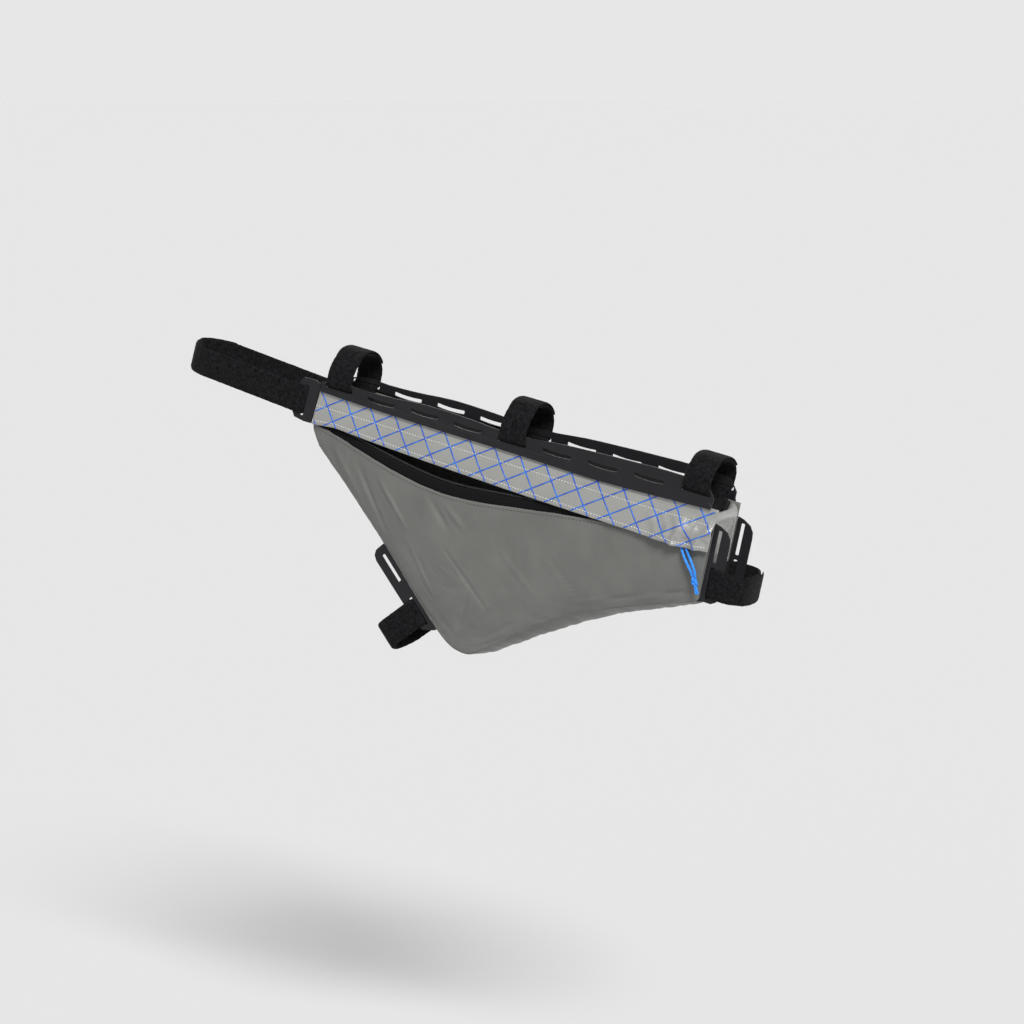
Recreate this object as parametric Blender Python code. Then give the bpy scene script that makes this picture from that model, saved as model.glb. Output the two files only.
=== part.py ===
"""Bicycle frame bag, mounted in the main triangle, with its zip open.

The bag hangs under a sloping top tube. Its shape is worked out in tube coordinates:
along (towards the rear, down the top tube), drop (down, square to the top tube)
and side (negative on the near side). place() turns these into the world's X, Y and Z.
The origin is the centre line of the top tube, under the middle strap.
"""

import math
from collections import namedtuple

import bmesh
import bpy
from mathutils import Vector

# Driving dimensions, in metres and degrees
LENGTH = 0.386              # bag, front edge to rear edge, along the top tube
DROP = 0.205                # top tube's centre line to the bag's lowest corner
HALF_DEPTH = 0.030          # half of the bag's depth across the bicycle
SLOPE = 12.4                # the top tube falls towards the rear
TUBE_RADIUS = 0.0210        # top tube, half of its width
TUBE_PLAY = 0.0022          # from the top tube's side to the inner face of strips and flaps
STRAP_WIDTH = 0.025
STRAP_THICKNESS = 0.0019
STRIP_THICKNESS = 0.0014    # smooth sheet of the mounting strips and flaps
CLOTH = 0.0012              # bag cloth
TAPE = 0.0009               # zip tape
TAPE_HEIGHT = 0.0125
TAPE_UNDERLAP = 0.03        # share of a rib that the lower tape reaches down behind the panel
COIL_RADIUS = 0.0011
UPPER_TAPE_HEIGHT = 0.0080
UPPER_ZIP_SHARE = 0.183     # drop of the upper tape's foot, behind the band, as a share of DROP
GAP = 0.0004                # between pieces that touch
SLIT_WIDTH = 0.0032
SLIT_END = 0.0012           # slit's length past each edge of a strap
SLIT_SHARE = 0.44           # slits' place between the strip's upper and lower edges
SLIT_BOW = 0.0009           # slits without a strap bow downwards
SLIT_PITCH_SHARE = 0.1114   # spacing of the mounting strip's slits, as a share of LENGTH
TOP_SLITS = 9
BAND_TOP = 0.0142           # drop of the band's top edge, behind the mounting strip
FLAT_TO = 0.0205            # the bag's sides are flat down to this drop, behind the strips
BAND_BOW = 0.0010           # outward bow of the near band between its edges
CRADLE = 0.0112             # depth that the cloth under the top tube hangs down
REAR_TURN = 0.0070          # length of the rear end's cloth that turns in under the top tube
DOWN_TUBE_DEPTH = 0.0510    # down tube, in the plane of the frame
DOWN_TUBE_NOSE = 0.0170     # depth of the down tube's rounded far side, under its strap
SEAT_TUBE_DEPTH = 0.0315    # seat tube, in the plane of the frame
SEAT_TUBE_NOSE = 0.0150     # depth of the seat tube's rounded far side, under its strap
HEAD_REACH = 0.129          # front flap's slit to the front of the head tube
HEAD_SEAT = 0.0045          # front strap's inner run, from the front flaps' inner edge
HEAD_TILT = 3.6             # head tube strap, more than the top tube's slope
FRONT_FLAP_STEP = 0.0016    # front flaps' edge, ahead of the bag's front end
CORD_RADIUS = 0.0011        # zip's pull cord
CORD_DROP = 0.0250          # how far the pull cord's legs hang, slider to knot
KNOT_LEAN = 0.45            # how far the knot and its tail lean to the rear, for each metre down
KNOT_FLAT = 0.85            # knot's depth against its width
SLIDER_LENGTH = 0.0070
SLIDER_DEPTH = 0.0018
SLIDER_HEIGHT = 0.0042
SLIDER_BEVEL = 0.0005
SLIDER_SHIFT = 0.0016       # from the cord's front leg to the slider's middle

# Values that follow
WING_SIDE = TUBE_RADIUS + TUBE_PLAY + STRIP_THICKNESS   # outer face of strips and flaps
STRAP_SIDE = WING_SIDE + GAP + STRAP_THICKNESS / 2   # strap's centre line, outside them
BAG_SIDE = WING_SIDE + GAP                           # outer face of the bag's edges
GUSSET_HALF = BAG_SIDE - CLOTH - GAP                 # half width of the strips between the sides
SLIT_LENGTH = STRAP_WIDTH + 2 * SLIT_END
SLIT_PITCH = SLIT_PITCH_SHARE * LENGTH
UPPER_ZIP_DROP = UPPER_ZIP_SHARE * DROP
SEAM_GAP = 1.6 * GAP                                 # between the strips that meet at a corner
STRAP_LAYER = STRAP_THICKNESS + GAP                  # one layer of strap on another
FRONT_END = -0.492                                   # share of LENGTH where the bag's front end stands

# Perimeter below the front corner, as shares of LENGTH and DROP; bulge is a share of HALF_DEPTH
Edge = namedtuple("Edge", "along drop bulge")
DOWN_EDGE = [
    Edge(FRONT_END, 0.235, 0.00),
    Edge(-0.468, 0.302, 0.00),
    Edge(-0.430, 0.362, 0.00),
    Edge(-0.381, 0.435, 0.00),
    Edge(-0.327, 0.520, 0.00),
    Edge(-0.268, 0.614, 0.00),
    Edge(-0.208, 0.716, 0.00),
    Edge(-0.146, 0.822, 0.02),
    Edge(-0.088, 0.915, 0.03),
    Edge(-0.055, 0.957, 0.04),
]
BOTTOM_EDGE = [
    Edge(-0.055, 0.957, 0.04),
    Edge(-0.030, 0.972, 0.08),
    Edge(-0.004, 0.972, 0.12),
    Edge(0.022, 0.945, 0.16),
    Edge(0.062, 0.885, 0.22),
    Edge(0.110, 0.806, 0.30),
    Edge(0.170, 0.727, 0.34),
    Edge(0.238, 0.656, 0.30),
    Edge(0.310, 0.592, 0.25),
    Edge(0.385, 0.534, 0.22),
    Edge(0.450, 0.488, 0.18),
    Edge(0.492, 0.458, 0.12),
    Edge(0.503, 0.435, 0.06),
]

# Ribs of the near panel: lip edge in shares of LENGTH and DROP, foot as a share of the perimeter
# below, the lip's depth as a share of HALF_DEPTH, and the swell between lip and foot
Rib = namedtuple("Rib", "along drop depth foot swell")
NEAR_RIBS = [
    Rib(-0.490, 0.222, 0.890, 0.000, 0.00),
    Rib(-0.466, 0.226, 0.930, 0.042, 0.02),
    Rib(-0.428, 0.236, 0.985, 0.088, 0.04),
    Rib(-0.363, 0.262, 1.060, 0.155, 0.07),
    Rib(-0.285, 0.296, 1.120, 0.230, 0.10),
    Rib(-0.207, 0.320, 1.160, 0.305, 0.12),
    Rib(-0.137, 0.331, 1.180, 0.380, 0.13),
    Rib(-0.072, 0.328, 1.180, 0.450, 0.13),
    Rib(0.000, 0.312, 1.165, 0.515, 0.13),
    Rib(0.065, 0.294, 1.145, 0.570, 0.13),
    Rib(0.130, 0.275, 1.125, 0.625, 0.13),
    Rib(0.207, 0.256, 1.100, 0.690, 0.13),
    Rib(0.285, 0.242, 1.075, 0.765, 0.12),
    Rib(0.363, 0.234, 1.040, 0.845, 0.10),
    Rib(0.440, 0.230, 0.990, 0.925, 0.06),
    Rib(0.503, 0.229, 0.905, 1.000, 0.01),
]

# Near band: lower edge's place and depth
BandRow = namedtuple("BandRow", "along drop depth")
BAND_ROWS = [
    BandRow(FRONT_END, 0.222, 0.945),
    BandRow(-0.455, 0.212, 1.010),
    BandRow(-0.420, 0.206, 1.060),
    BandRow(-0.340, 0.213, 1.100),
    BandRow(-0.200, 0.223, 1.110),
    BandRow(-0.050, 0.231, 1.130),
    BandRow(0.100, 0.237, 1.165),
    BandRow(0.240, 0.240, 1.190),
    BandRow(0.370, 0.245, 1.170),
    BandRow(0.450, 0.246, 1.150),
    BandRow(0.506, 0.240, 0.985),
]

# Mounting strip along the top tube: upper edge, lower edge
StripRow = namedtuple("StripRow", "along top foot")
STRIP_ROWS = [
    StripRow(FRONT_END, 0.038, 0.077),
    StripRow(-0.446, 0.017, 0.079),
    StripRow(-0.389, 0.021, 0.083),
    StripRow(-0.311, 0.016, 0.086),
    StripRow(-0.220, 0.003, 0.088),
    StripRow(-0.117, 0.006, 0.089),
    StripRow(-0.040, 0.014, 0.089),
    StripRow(0.030, 0.013, 0.090),
    StripRow(0.117, -0.004, 0.093),
    StripRow(0.207, -0.014, 0.095),
    StripRow(0.285, -0.021, 0.091),
    StripRow(0.363, -0.026, 0.085),
    StripRow(0.430, -0.024, 0.079),
    StripRow(0.466, -0.018, 0.076),
    StripRow(0.489, 0.030, 0.074),
]

# Main folds of the near panel: start and end in shares of LENGTH and DROP, how far the
# fold stands out (share of HALF_DEPTH) and its half width (share of LENGTH)
Fold = namedtuple("Fold", "along drop to_along to_drop height width")
FOLDS = [
    Fold(-0.40, 0.30, -0.22, 0.62, 0.050, 0.022),
    Fold(-0.33, 0.36, -0.10, 0.80, -0.050, 0.022),
    Fold(-0.18, 0.42, 0.00, 0.76, 0.055, 0.026),
    Fold(0.02, 0.38, 0.10, 0.60, -0.045, 0.030),
    Fold(-0.02, 0.94, 0.12, 0.72, -0.050, 0.018),
    Fold(0.36, 0.45, 0.47, 0.42, -0.040, 0.020),
]

# Flaps: run along the bag's edge and reach away from it, from the strap's middle, as shares
# of STRAP_WIDTH
FlapCorner = namedtuple("FlapCorner", "run reach")
DOWN_FLAP = [
    FlapCorner(-2.640, 0.016),
    FlapCorner(-2.620, 0.400),
    FlapCorner(-2.500, 0.560),
    FlapCorner(-2.300, 0.620),
    FlapCorner(0.360, 0.600),
    FlapCorner(0.600, 0.500),
    FlapCorner(0.860, 0.140),
    FlapCorner(0.900, 0.016),
]
REAR_FLAP = [
    FlapCorner(-2.000, 0.016),
    FlapCorner(-1.940, 0.240),
    FlapCorner(-1.800, 0.500),
    FlapCorner(-1.600, 0.632),
    FlapCorner(-1.360, 0.660),
    FlapCorner(0.360, 0.660),
    FlapCorner(0.560, 0.600),
    FlapCorner(0.660, 0.440),
    FlapCorner(0.660, 0.016),
]
FRONT_FLAP = [
    FlapCorner(-0.760, 0.016),
    FlapCorner(-0.820, 0.240),
    FlapCorner(-0.780, 0.680),
    FlapCorner(-0.600, 0.820),
    FlapCorner(0.520, 0.860),
    FlapCorner(0.688, 0.740),
    FlapCorner(0.728, 0.320),
    FlapCorner(0.700, 0.016),
]
DOWN_SLIT_STEP = 0.0445     # spacing of the down tube flap's two slits
REAR_SLIT_STEP = 0.0315     # spacing of the rear flap's two slits
FLAP_SLIT_REACH = 0.0062    # slit's distance from the bag's edge
FRONT_SLIT_REACH = 0.0120
DOWN_STRAP_AT = 0.795       # share of the down tube edge where the strap sits
REAR_STRAP_DROP = 0.368     # share of DROP where the seat tube strap sits
FRONT_STRAP_DROP = 0.140    # share of DROP where the head tube strap starts

# The zip's pull cord, from the slider down: its two legs, as shares of CORD_DROP
CordPoint = namedtuple("CordPoint", "along drop side")
FRONT_LEG = [
    CordPoint(0.000, 0.000, 0.000),
    CordPoint(0.014, 0.120, 0.000),
    CordPoint(0.058, 0.240, -0.016),
    CordPoint(0.158, 0.384, -0.048),
    CordPoint(0.288, 0.536, -0.080),
    CordPoint(0.418, 0.680, -0.096),
    CordPoint(0.526, 0.808, -0.092),
    CordPoint(0.598, 0.912, -0.072),
    CordPoint(0.634, 0.992, -0.052),
]
REAR_LEG = [
    CordPoint(0.128, 0.000, 0.000),
    CordPoint(0.171, 0.120, 0.000),
    CordPoint(0.250, 0.240, -0.016),
    CordPoint(0.373, 0.384, -0.048),
    CordPoint(0.495, 0.528, -0.080),
    CordPoint(0.600, 0.664, -0.096),
    CordPoint(0.679, 0.792, -0.092),
    CordPoint(0.722, 0.912, -0.072),
    CordPoint(0.736, 1.008, -0.052),
]
# The knot below the legs: drop and radius, as shares of CORD_RADIUS
KnotRing = namedtuple("KnotRing", "drop radius")
KNOT = [
    KnotRing(0.00, 0.90),
    KnotRing(0.55, 2.35),
    KnotRing(1.80, 3.10),
    KnotRing(3.25, 2.75),
    KnotRing(4.20, 2.20),
    KnotRing(5.10, 2.75),
    KnotRing(6.35, 2.80),
    KnotRing(7.45, 2.00),
    KnotRing(8.35, 1.20),
    KnotRing(11.65, 1.20),
    KnotRing(11.80, 0.75),
]
# One side of a strap where it comes in through its slit: side in from the strap's outer run and
# out from the slit, as shares of STRAP_THICKNESS
Crossing = namedtuple("Crossing", "inward out")
CROSSING = [
    Crossing(0.00, 1.90),
    Crossing(0.05, 1.00),
    Crossing(0.37, 0.32),
    Crossing(0.90, 0.00),
    Crossing(1.47, -0.05),
    Crossing(1.95, -0.37),
]
CROSSING_END = Crossing(2.21, -0.95)
SLIDER_ALONG = 0.445        # share of LENGTH where the slider stands, at the open end

COLOURS = {
    "bag_cloth": ((0.24, 0.25, 0.23), 0.62),
    "band_cloth": ((0.44, 0.44, 0.41), 0.34),
    "smooth_sheet": ((0.028, 0.028, 0.031), 0.55),
    "strap_pile": ((0.010, 0.010, 0.011), 0.95),
    "zip_tape": ((0.012, 0.012, 0.013), 0.80),
    "zip_coil": ((0.010, 0.010, 0.011), 0.35),
    "cord": ((0.010, 0.230, 0.800), 0.60),
}


def clear_scene():
    for item in list(bpy.data.objects):
        bpy.data.objects.remove(item, do_unlink=True)


def material(slot):
    """The Principled material of one slot, made once."""
    made = bpy.data.materials.get(slot)
    if made:
        return made
    colour, roughness = COLOURS[slot]
    made = bpy.data.materials.new(slot)
    made.use_nodes = True
    shader = made.node_tree.nodes["Principled BSDF"]
    shader.inputs["Base Color"].default_value = (*colour, 1.0)
    shader.inputs["Roughness"].default_value = roughness
    shader.inputs["Metallic"].default_value = 0.0
    return made


def place(along, drop, side):
    """Tube coordinates to world coordinates."""
    slope = math.radians(SLOPE)
    x = along * math.cos(slope) - drop * math.sin(slope)
    z = -along * math.sin(slope) - drop * math.cos(slope)
    return Vector((x, side, z))


def at(along, drop, side):
    """Shares of LENGTH, DROP and HALF_DEPTH to world coordinates."""
    return place(along * LENGTH, drop * DROP, side * HALF_DEPTH)


def smooth_rows(rows, count):
    """count rows, evenly spaced on a smooth curve through the table's rows."""
    kind = type(rows[0])
    result = []
    for step in range(count):
        position = step * (len(rows) - 1) / (count - 1)
        index = min(int(position), len(rows) - 2)
        t = position - index
        before = rows[max(index - 1, 0)]
        after = rows[min(index + 2, len(rows) - 1)]
        values = []
        for a, b, c, d in zip(before, rows[index], rows[index + 1], after):
            tangent_in = (c - a) / 2
            tangent_out = (d - b) / 2
            cubic = (2 * t**3 - 3 * t**2 + 1) * b + (t**3 - 2 * t**2 + t) * tangent_in
            values.append(cubic + (-2 * t**3 + 3 * t**2) * c + (t**3 - t**2) * tangent_out)
        result.append(kind(*values))
    return result


def row_between(rows, share):
    """One row of a smooth table, at a share from 0 to 1 of its index range."""
    fine = smooth_rows(rows, 8 * (len(rows) - 1) + 1)
    position = min(share, 1.0) * (len(fine) - 1)
    index = min(int(position), len(fine) - 2)
    t = position - index
    kind = type(rows[0])
    return kind(*[a + (b - a) * t for a, b in zip(fine[index], fine[index + 1])])


def by_along(rows, along):
    """The table's row where its along column reaches the given share."""
    fine = smooth_rows(rows, 6 * (len(rows) - 1) + 1)
    for first, second in zip(fine, fine[1:]):
        if along <= second.along:
            break
    t = (along - first.along) / (second.along - first.along)
    t = min(max(t, 0.0), 1.0)
    return type(rows[0])(*[a + (b - a) * t for a, b in zip(first, second)])


def perimeter(share):
    """A point of the bag's lower perimeter, from the front corner to the rear corner."""
    whole = DOWN_EDGE + BOTTOM_EDGE[1:]
    return row_between(whole, share)


def finish(obj, slot):
    """Gives the piece its material and smooth shading."""
    obj.data.materials.append(material(slot))
    obj.data.shade_smooth()
    obj.data.set_sharp_from_angle(angle=math.radians(35))
    return obj


def add_object(name, mesh):
    obj = bpy.data.objects.new(name, mesh)
    bpy.context.scene.collection.objects.link(obj)
    return obj


def sheet(name, grid, thickness, outward, slot):
    """A cloth wall: a grid of outer-surface points, thickened inwards."""
    rows = len(grid)
    columns = len(grid[0])
    body = bmesh.new()
    vertices = [[body.verts.new(point) for point in row] for row in grid]
    for i in range(rows - 1):
        for j in range(columns - 1):
            body.faces.new((vertices[i][j], vertices[i + 1][j],
                            vertices[i + 1][j + 1], vertices[i][j + 1]))
    body.normal_update()
    facing = sum((face.normal for face in body.faces), Vector()).dot(Vector(outward))
    if facing < 0:
        bmesh.ops.reverse_faces(body, faces=body.faces[:])
    mesh = bpy.data.meshes.new(name)
    body.to_mesh(mesh)
    body.free()
    obj = add_object(name, mesh)
    wall = obj.modifiers.new("wall", "SOLIDIFY")
    wall.thickness = thickness
    wall.offset = -1.0
    wall.use_even_offset = True
    return finish(obj, slot)


def fold_height(along, drop):
    """How far the main folds lift the near panel there, as a share of HALF_DEPTH."""
    lift = 0.0
    for fold in FOLDS:
        start = Vector((fold.along * LENGTH, fold.drop * DROP))
        end = Vector((fold.to_along * LENGTH, fold.to_drop * DROP))
        here = Vector((along * LENGTH, drop * DROP))
        run = end - start
        t = (here - start).dot(run) / run.length_squared
        t = min(max(t, 0.0), 1.0)
        distance = (here - start - run * t).length
        fade = math.sin(math.pi * min(max(0.08 + 0.84 * t, 0.0), 1.0))
        lift += fold.height * fade * math.exp(-(distance / (fold.width * LENGTH)) ** 2)
    return lift


def near_point(rib, t):
    """Along, drop and depth shares of the near panel on one rib, t from lip to foot."""
    foot = perimeter(rib.foot)
    along = rib.along + (foot.along - rib.along) * t
    drop = rib.drop + (foot.drop - rib.drop) * t
    depth = rib.depth + (BAG_SIDE / HALF_DEPTH - rib.depth) * t
    edge_fade = math.sin(math.pi * t)
    depth += rib.swell * edge_fade + fold_height(along, drop) * edge_fade
    return along, drop, depth


def near_panel():
    steps_down = 12
    grid = []
    for rib in smooth_rows(NEAR_RIBS, 33):
        row = []
        for step in range(steps_down + 1):
            along, drop, depth = near_point(rib, step / steps_down)
            row.append(at(along, drop, -depth))
        grid.append(row)
    return sheet("near_panel", grid, CLOTH, (0, -1, 0), "bag_cloth")


def band_side(row, drop):
    """Outer face of the near band at a drop, in metres from the bag's middle plane."""
    t = min(max((drop - FLAT_TO) / (row.drop * DROP - FLAT_TO), 0.0), 1.0)
    bow = BAND_BOW * math.sin(math.pi * t)
    return BAG_SIDE + (row.depth * HALF_DEPTH - BAG_SIDE) * t + bow


def near_band():
    steps_down = 4
    grid = []
    for row in smooth_rows(BAND_ROWS, 30):
        line = [place(row.along * LENGTH, BAND_TOP, -BAG_SIDE)]
        for step in range(steps_down + 1):
            drop = FLAT_TO + (row.drop * DROP - FLAT_TO) * step / steps_down
            line.append(place(row.along * LENGTH, drop, -band_side(row, drop)))
        grid.append(line)
    return sheet("near_band", grid, CLOTH, (0, -1, 0), "band_cloth")


def far_panel():
    steps_down = 8
    flat_share = FLAT_TO / DROP
    top_depth = BAG_SIDE / HALF_DEPTH
    grid = []
    for rib in smooth_rows(NEAR_RIBS, 25):
        foot = perimeter(rib.foot)
        line = [at(rib.along, BAND_TOP / DROP, top_depth)]
        for step in range(steps_down + 1):
            t = step / steps_down
            along = rib.along + (foot.along - rib.along) * t
            drop = flat_share + (foot.drop - flat_share) * t
            depth = top_depth + (rib.swell * 1.6 + 0.01) * math.sin(math.pi * t) ** 0.8
            line.append(at(along, drop, depth))
        grid.append(line)
    return sheet("far_panel", grid, CLOTH, (0, 1, 0), "bag_cloth")


def crosswise(edge_rows, count, name, outward, slot, steps=6, half=GUSSET_HALF):
    """A strip between the two sides, bulging outwards in the middle."""
    grid = []
    rows = smooth_rows(edge_rows, count)
    for index, row in enumerate(rows):
        before = rows[max(index - 1, 0)]
        after = rows[min(index + 1, count - 1)]
        run = place((after.along - before.along) * LENGTH, (after.drop - before.drop) * DROP, 0)
        square = run.cross(Vector((0, 1, 0))).normalized()
        if square.dot(Vector(outward)) < 0:
            square = -square
        line = []
        for step in range(steps + 1):
            across = -1 + 2 * step / steps
            bulge = row.bulge * HALF_DEPTH * (1 - across**2)
            line.append(at(row.along, row.drop, 0) + Vector((0, across * half, 0)) + square * bulge)
        grid.append(line)
    return sheet(name, grid, CLOTH, outward, slot)


def gussets():
    """The strips along the down tube, the bottom and the rear."""
    gap_along = SEAM_GAP / LENGTH
    gap_drop = SEAM_GAP / DROP
    crosswise(DOWN_EDGE, 15, "down_tube_gusset", (-1, 0, -1), "bag_cloth", steps=4)
    start = BOTTOM_EDGE[0]
    bottom = [Edge(start.along + gap_along, start.drop + gap_drop, start.bulge)] + BOTTOM_EDGE[1:-1]
    crosswise(bottom, 25, "bottom_gusset", (0.3, 0, -1), "bag_cloth")
    end = BOTTOM_EDGE[-1]
    turn = REAR_TURN / LENGTH
    rear = [
        Edge(end.along, end.drop, 0.01),
        Edge(end.along, 0.330, 0.01),
        Edge(end.along, 0.210, 0.01),
        Edge(end.along, 0.135, 0.01),
        Edge(end.along - 0.06 * turn, 0.106, 0.01),
        Edge(end.along - 0.28 * turn, 0.086, -0.08),
        Edge(end.along - 0.67 * turn, 0.0775, -0.22),
        Edge(end.along - turn, 0.0773, -0.33),
    ]
    crosswise(rear, 15, "rear_gusset", (1, 0, 0.3), "band_cloth", half=GUSSET_HALF - CLOTH / 2)


def cradle_drop(across):
    """Drop of the cloth under the top tube, across from -1 to 1 between its edges."""
    return BAND_TOP + GAP + CRADLE * (1 - abs(across) ** 3.2)


def front_gusset():
    """The short front end, whose upper edge follows the top tube's underside."""
    first = DOWN_EDGE[0]
    foot = first.drop * DROP - SEAM_GAP
    steps = 8
    grid = []
    for row in range(4):
        line = []
        for step in range(steps + 1):
            across = -1 + 2 * step / steps
            top = cradle_drop(across)
            drop = top + (foot - top) * row / 3
            line.append(place(first.along * LENGTH, drop, across * GUSSET_HALF))
        grid.append(line)
    return sheet("front_gusset", grid, CLOTH, (-1, 0, 0), "bag_cloth")


def top_panel():
    """Cloth that cups the underside of the top tube."""
    steps = 10
    first = DOWN_EDGE[0].along + (CLOTH + GAP) / LENGTH
    last = BOTTOM_EDGE[-1].along - (REAR_TURN + 4 * GAP) / LENGTH
    grid = []
    for index in range(18):
        along = first + (last - first) * index / 17
        line = []
        for step in range(steps + 1):
            across = math.sin(math.pi * (step / steps - 0.5))
            side = across * (GUSSET_HALF - CLOTH)
            line.append(place(along * LENGTH, cradle_drop(across), side))
        grid.append(line)
    return sheet("top_panel", grid, CLOTH, (0, 0, 1), "smooth_sheet")


def slit_cutter(name, centre, run, reach, length, width, bow, depth):
    """A long narrow slot with clipped corners, bowed by bow, cut right through along Y."""
    clip = width / 6
    half = width / 2
    shares = (-1, clip * 2 / length - 1, -0.5, 0, 0.5, 1 - clip * 2 / length, 1)
    narrow = (half - clip, half, half, half, half, half, half - clip)
    upper = [(t * length / 2, bow * (1 - t**2) - n) for t, n in zip(shares, narrow)]
    lower = [(t * length / 2, bow * (1 - t**2) + n) for t, n in zip(shares, narrow)]
    outline = upper + lower[::-1]
    body = bmesh.new()
    lower = [body.verts.new(centre + run * a + reach * b + Vector((0, -depth, 0))) for a, b in outline]
    upper = [body.verts.new(centre + run * a + reach * b + Vector((0, depth, 0))) for a, b in outline]
    body.faces.new(lower)
    body.faces.new(upper[::-1])
    count = len(outline)
    for index in range(count):
        after = (index + 1) % count
        body.faces.new((lower[index], upper[index], upper[after], lower[after]))
    bmesh.ops.recalc_face_normals(body, faces=body.faces[:])
    mesh = bpy.data.meshes.new(name)
    body.to_mesh(mesh)
    body.free()
    cutter = add_object(name, mesh)
    cutter.hide_render = True
    cutter.display_type = "WIRE"
    return cutter


def cut(obj, cutter):
    modifier = obj.modifiers.new(cutter.name, "BOOLEAN")
    modifier.operation = "DIFFERENCE"
    modifier.solver = "EXACT"
    modifier.object = cutter


def slit_drop(number):
    """Drop of one slit of the mounting strips, in metres; 0 is the middle one."""
    row = by_along(STRIP_ROWS, number * SLIT_PITCH / LENGTH)
    return slit_line(row)


def slit_line(row):
    """Drop of the line of slits in one row of the strip's table."""
    return (row.top + SLIT_SHARE * (row.foot - row.top)) * DROP


def mount_strip(name, side):
    """One of the two smooth strips that stand up beside the top tube."""
    grid = []
    foot_side = BAG_SIDE + GAP + STRIP_THICKNESS
    cover = BAND_TOP - GAP * 2
    for row in smooth_rows(STRIP_ROWS, 36):
        slit = slit_line(row)
        top = row.top * DROP
        bend = min(slit + SLIT_WIDTH * 0.6, cover - GAP * 2)
        along = row.along * LENGTH
        line = [place(along, top, side * WING_SIDE),
                place(along, (top + bend) / 2, side * WING_SIDE),
                place(along, bend, side * WING_SIDE),
                place(along, cover, side * foot_side),
                place(along, row.foot * DROP, side * foot_side)]
        grid.append(line)
    strip = sheet(name, grid, STRIP_THICKNESS, (0, side, 0), "smooth_sheet")
    half = TOP_SLITS // 2
    for number in range(-half, half + 1):
        centre = place(number * SLIT_PITCH, slit_drop(number), side * WING_SIDE)
        run = place(1, 0, 0)
        reach = place(0, 1, 0)
        bow = 0.0 if number % half == 0 else SLIT_BOW
        cutter = slit_cutter(f"{name}_slit_{number + half}", centre, run, reach,
                             SLIT_LENGTH, SLIT_WIDTH, bow, 4 * STRIP_THICKNESS)
        cut(strip, cutter)
    return strip


def flap(name, side, corners, centre, run, reach, slits):
    """A flat tongue of smooth sheet beside a tube, with slits at (run, reach)."""
    outer = Vector((0, side * WING_SIDE, 0))
    body = bmesh.new()
    points = [centre + outer + (run * corner.run + reach * corner.reach) * STRAP_WIDTH
              for corner in corners]
    face = body.faces.new([body.verts.new(point) for point in points])
    body.normal_update()
    if face.normal.y * side < 0:
        face.normal_flip()
    mesh = bpy.data.meshes.new(name)
    body.to_mesh(mesh)
    body.free()
    obj = add_object(name, mesh)
    wall = obj.modifiers.new("wall", "SOLIDIFY")
    wall.thickness = STRIP_THICKNESS
    wall.offset = -1.0
    for number, (along_run, from_edge) in enumerate(slits):
        place_at = centre + outer + run * along_run + reach * from_edge
        cutter = slit_cutter(f"{name}_slit_{number}", place_at, run, reach,
                             SLIT_LENGTH, SLIT_WIDTH, 0.0, 4 * STRIP_THICKNESS)
        cut(obj, cutter)
    return finish(obj, "smooth_sheet")


def strap_path(slit, shoulder, crown, crown_power, seat, seat_power, tail_from, tail_to):
    """Centre line of a strap round a tube, as (side, out) pairs; out points away from the bag.

    It starts as the lower layer past the crown, goes down the far side, in through the far
    slit, across at the seat, out through the near slit, and ends as the upper layer.
    Angles count from the near side, 0, over the crown, 90, to the far side, 180.
    """
    def over(angle, lift):
        turn = math.radians(angle)
        power = 2.0 / crown_power
        side = -math.copysign(abs(math.cos(turn)) ** power, math.cos(turn)) * (STRAP_SIDE + lift)
        out = shoulder + abs(math.sin(turn)) ** power * (crown - shoulder + lift)
        return side, out

    def through(sign):
        points = [(STRAP_SIDE - row.inward * STRAP_THICKNESS, slit + row.out * STRAP_THICKNESS)
                  for row in CROSSING]
        side_span = STRAP_SIDE - CROSSING_END.inward * STRAP_THICKNESS
        turn_from = slit + CROSSING_END.out * STRAP_THICKNESS
        steps = 7
        for step in range(steps):
            turn = math.radians(90 * step / steps)
            power = 2.0 / seat_power
            points.append((side_span * math.cos(turn) ** power,
                           turn_from - (turn_from - seat) * math.sin(turn) ** power))
        return [(sign * side, out) for side, out in points]

    start = [over(angle, 0.0) for angle in range(tail_from, 180, 12)]
    down_far = through(1) + [(0.0, seat)] + through(-1)[::-1]
    end = []
    for angle in list(range(0, tail_to, 12)) + [tail_to]:
        ramp = min(max((angle - tail_from + 34) / 26, 0.0), 1.0)
        end.append(over(angle, STRAP_LAYER * ramp * ramp * (3 - 2 * ramp)))
    return start + [over(180, 0.0)] + down_far + end


def strap(name, path, centre, out, width_axis, width):
    """A flat strap swept along its path."""
    half = STRAP_THICKNESS / 2
    side_axis = Vector((0, 1, 0))
    body = bmesh.new()
    rings = []
    for index, (side, away) in enumerate(path):
        before = Vector(path[max(index - 1, 0)])
        after = Vector(path[min(index + 1, len(path) - 1)])
        run = (after - before).normalized()
        square = Vector((-run.y, run.x))
        ring = []
        for thick, wide in ((-half, -1), (-half, 1), (half, 1), (half, -1)):
            point = Vector((side, away)) + square * thick
            ring.append(body.verts.new(centre + side_axis * point.x + out * point.y
                                       + width_axis * (wide * width / 2)))
        rings.append(ring)
    for ring, following in zip(rings, rings[1:]):
        for corner in range(4):
            after = (corner + 1) % 4
            body.faces.new((ring[corner], ring[after], following[after], following[corner]))
    body.faces.new(rings[0][::-1])
    body.faces.new(rings[-1])
    bmesh.ops.recalc_face_normals(body, faces=body.faces[:])
    mesh = bpy.data.meshes.new(name)
    body.to_mesh(mesh)
    body.free()
    return finish(add_object(name, mesh), "strap_pile")


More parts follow.
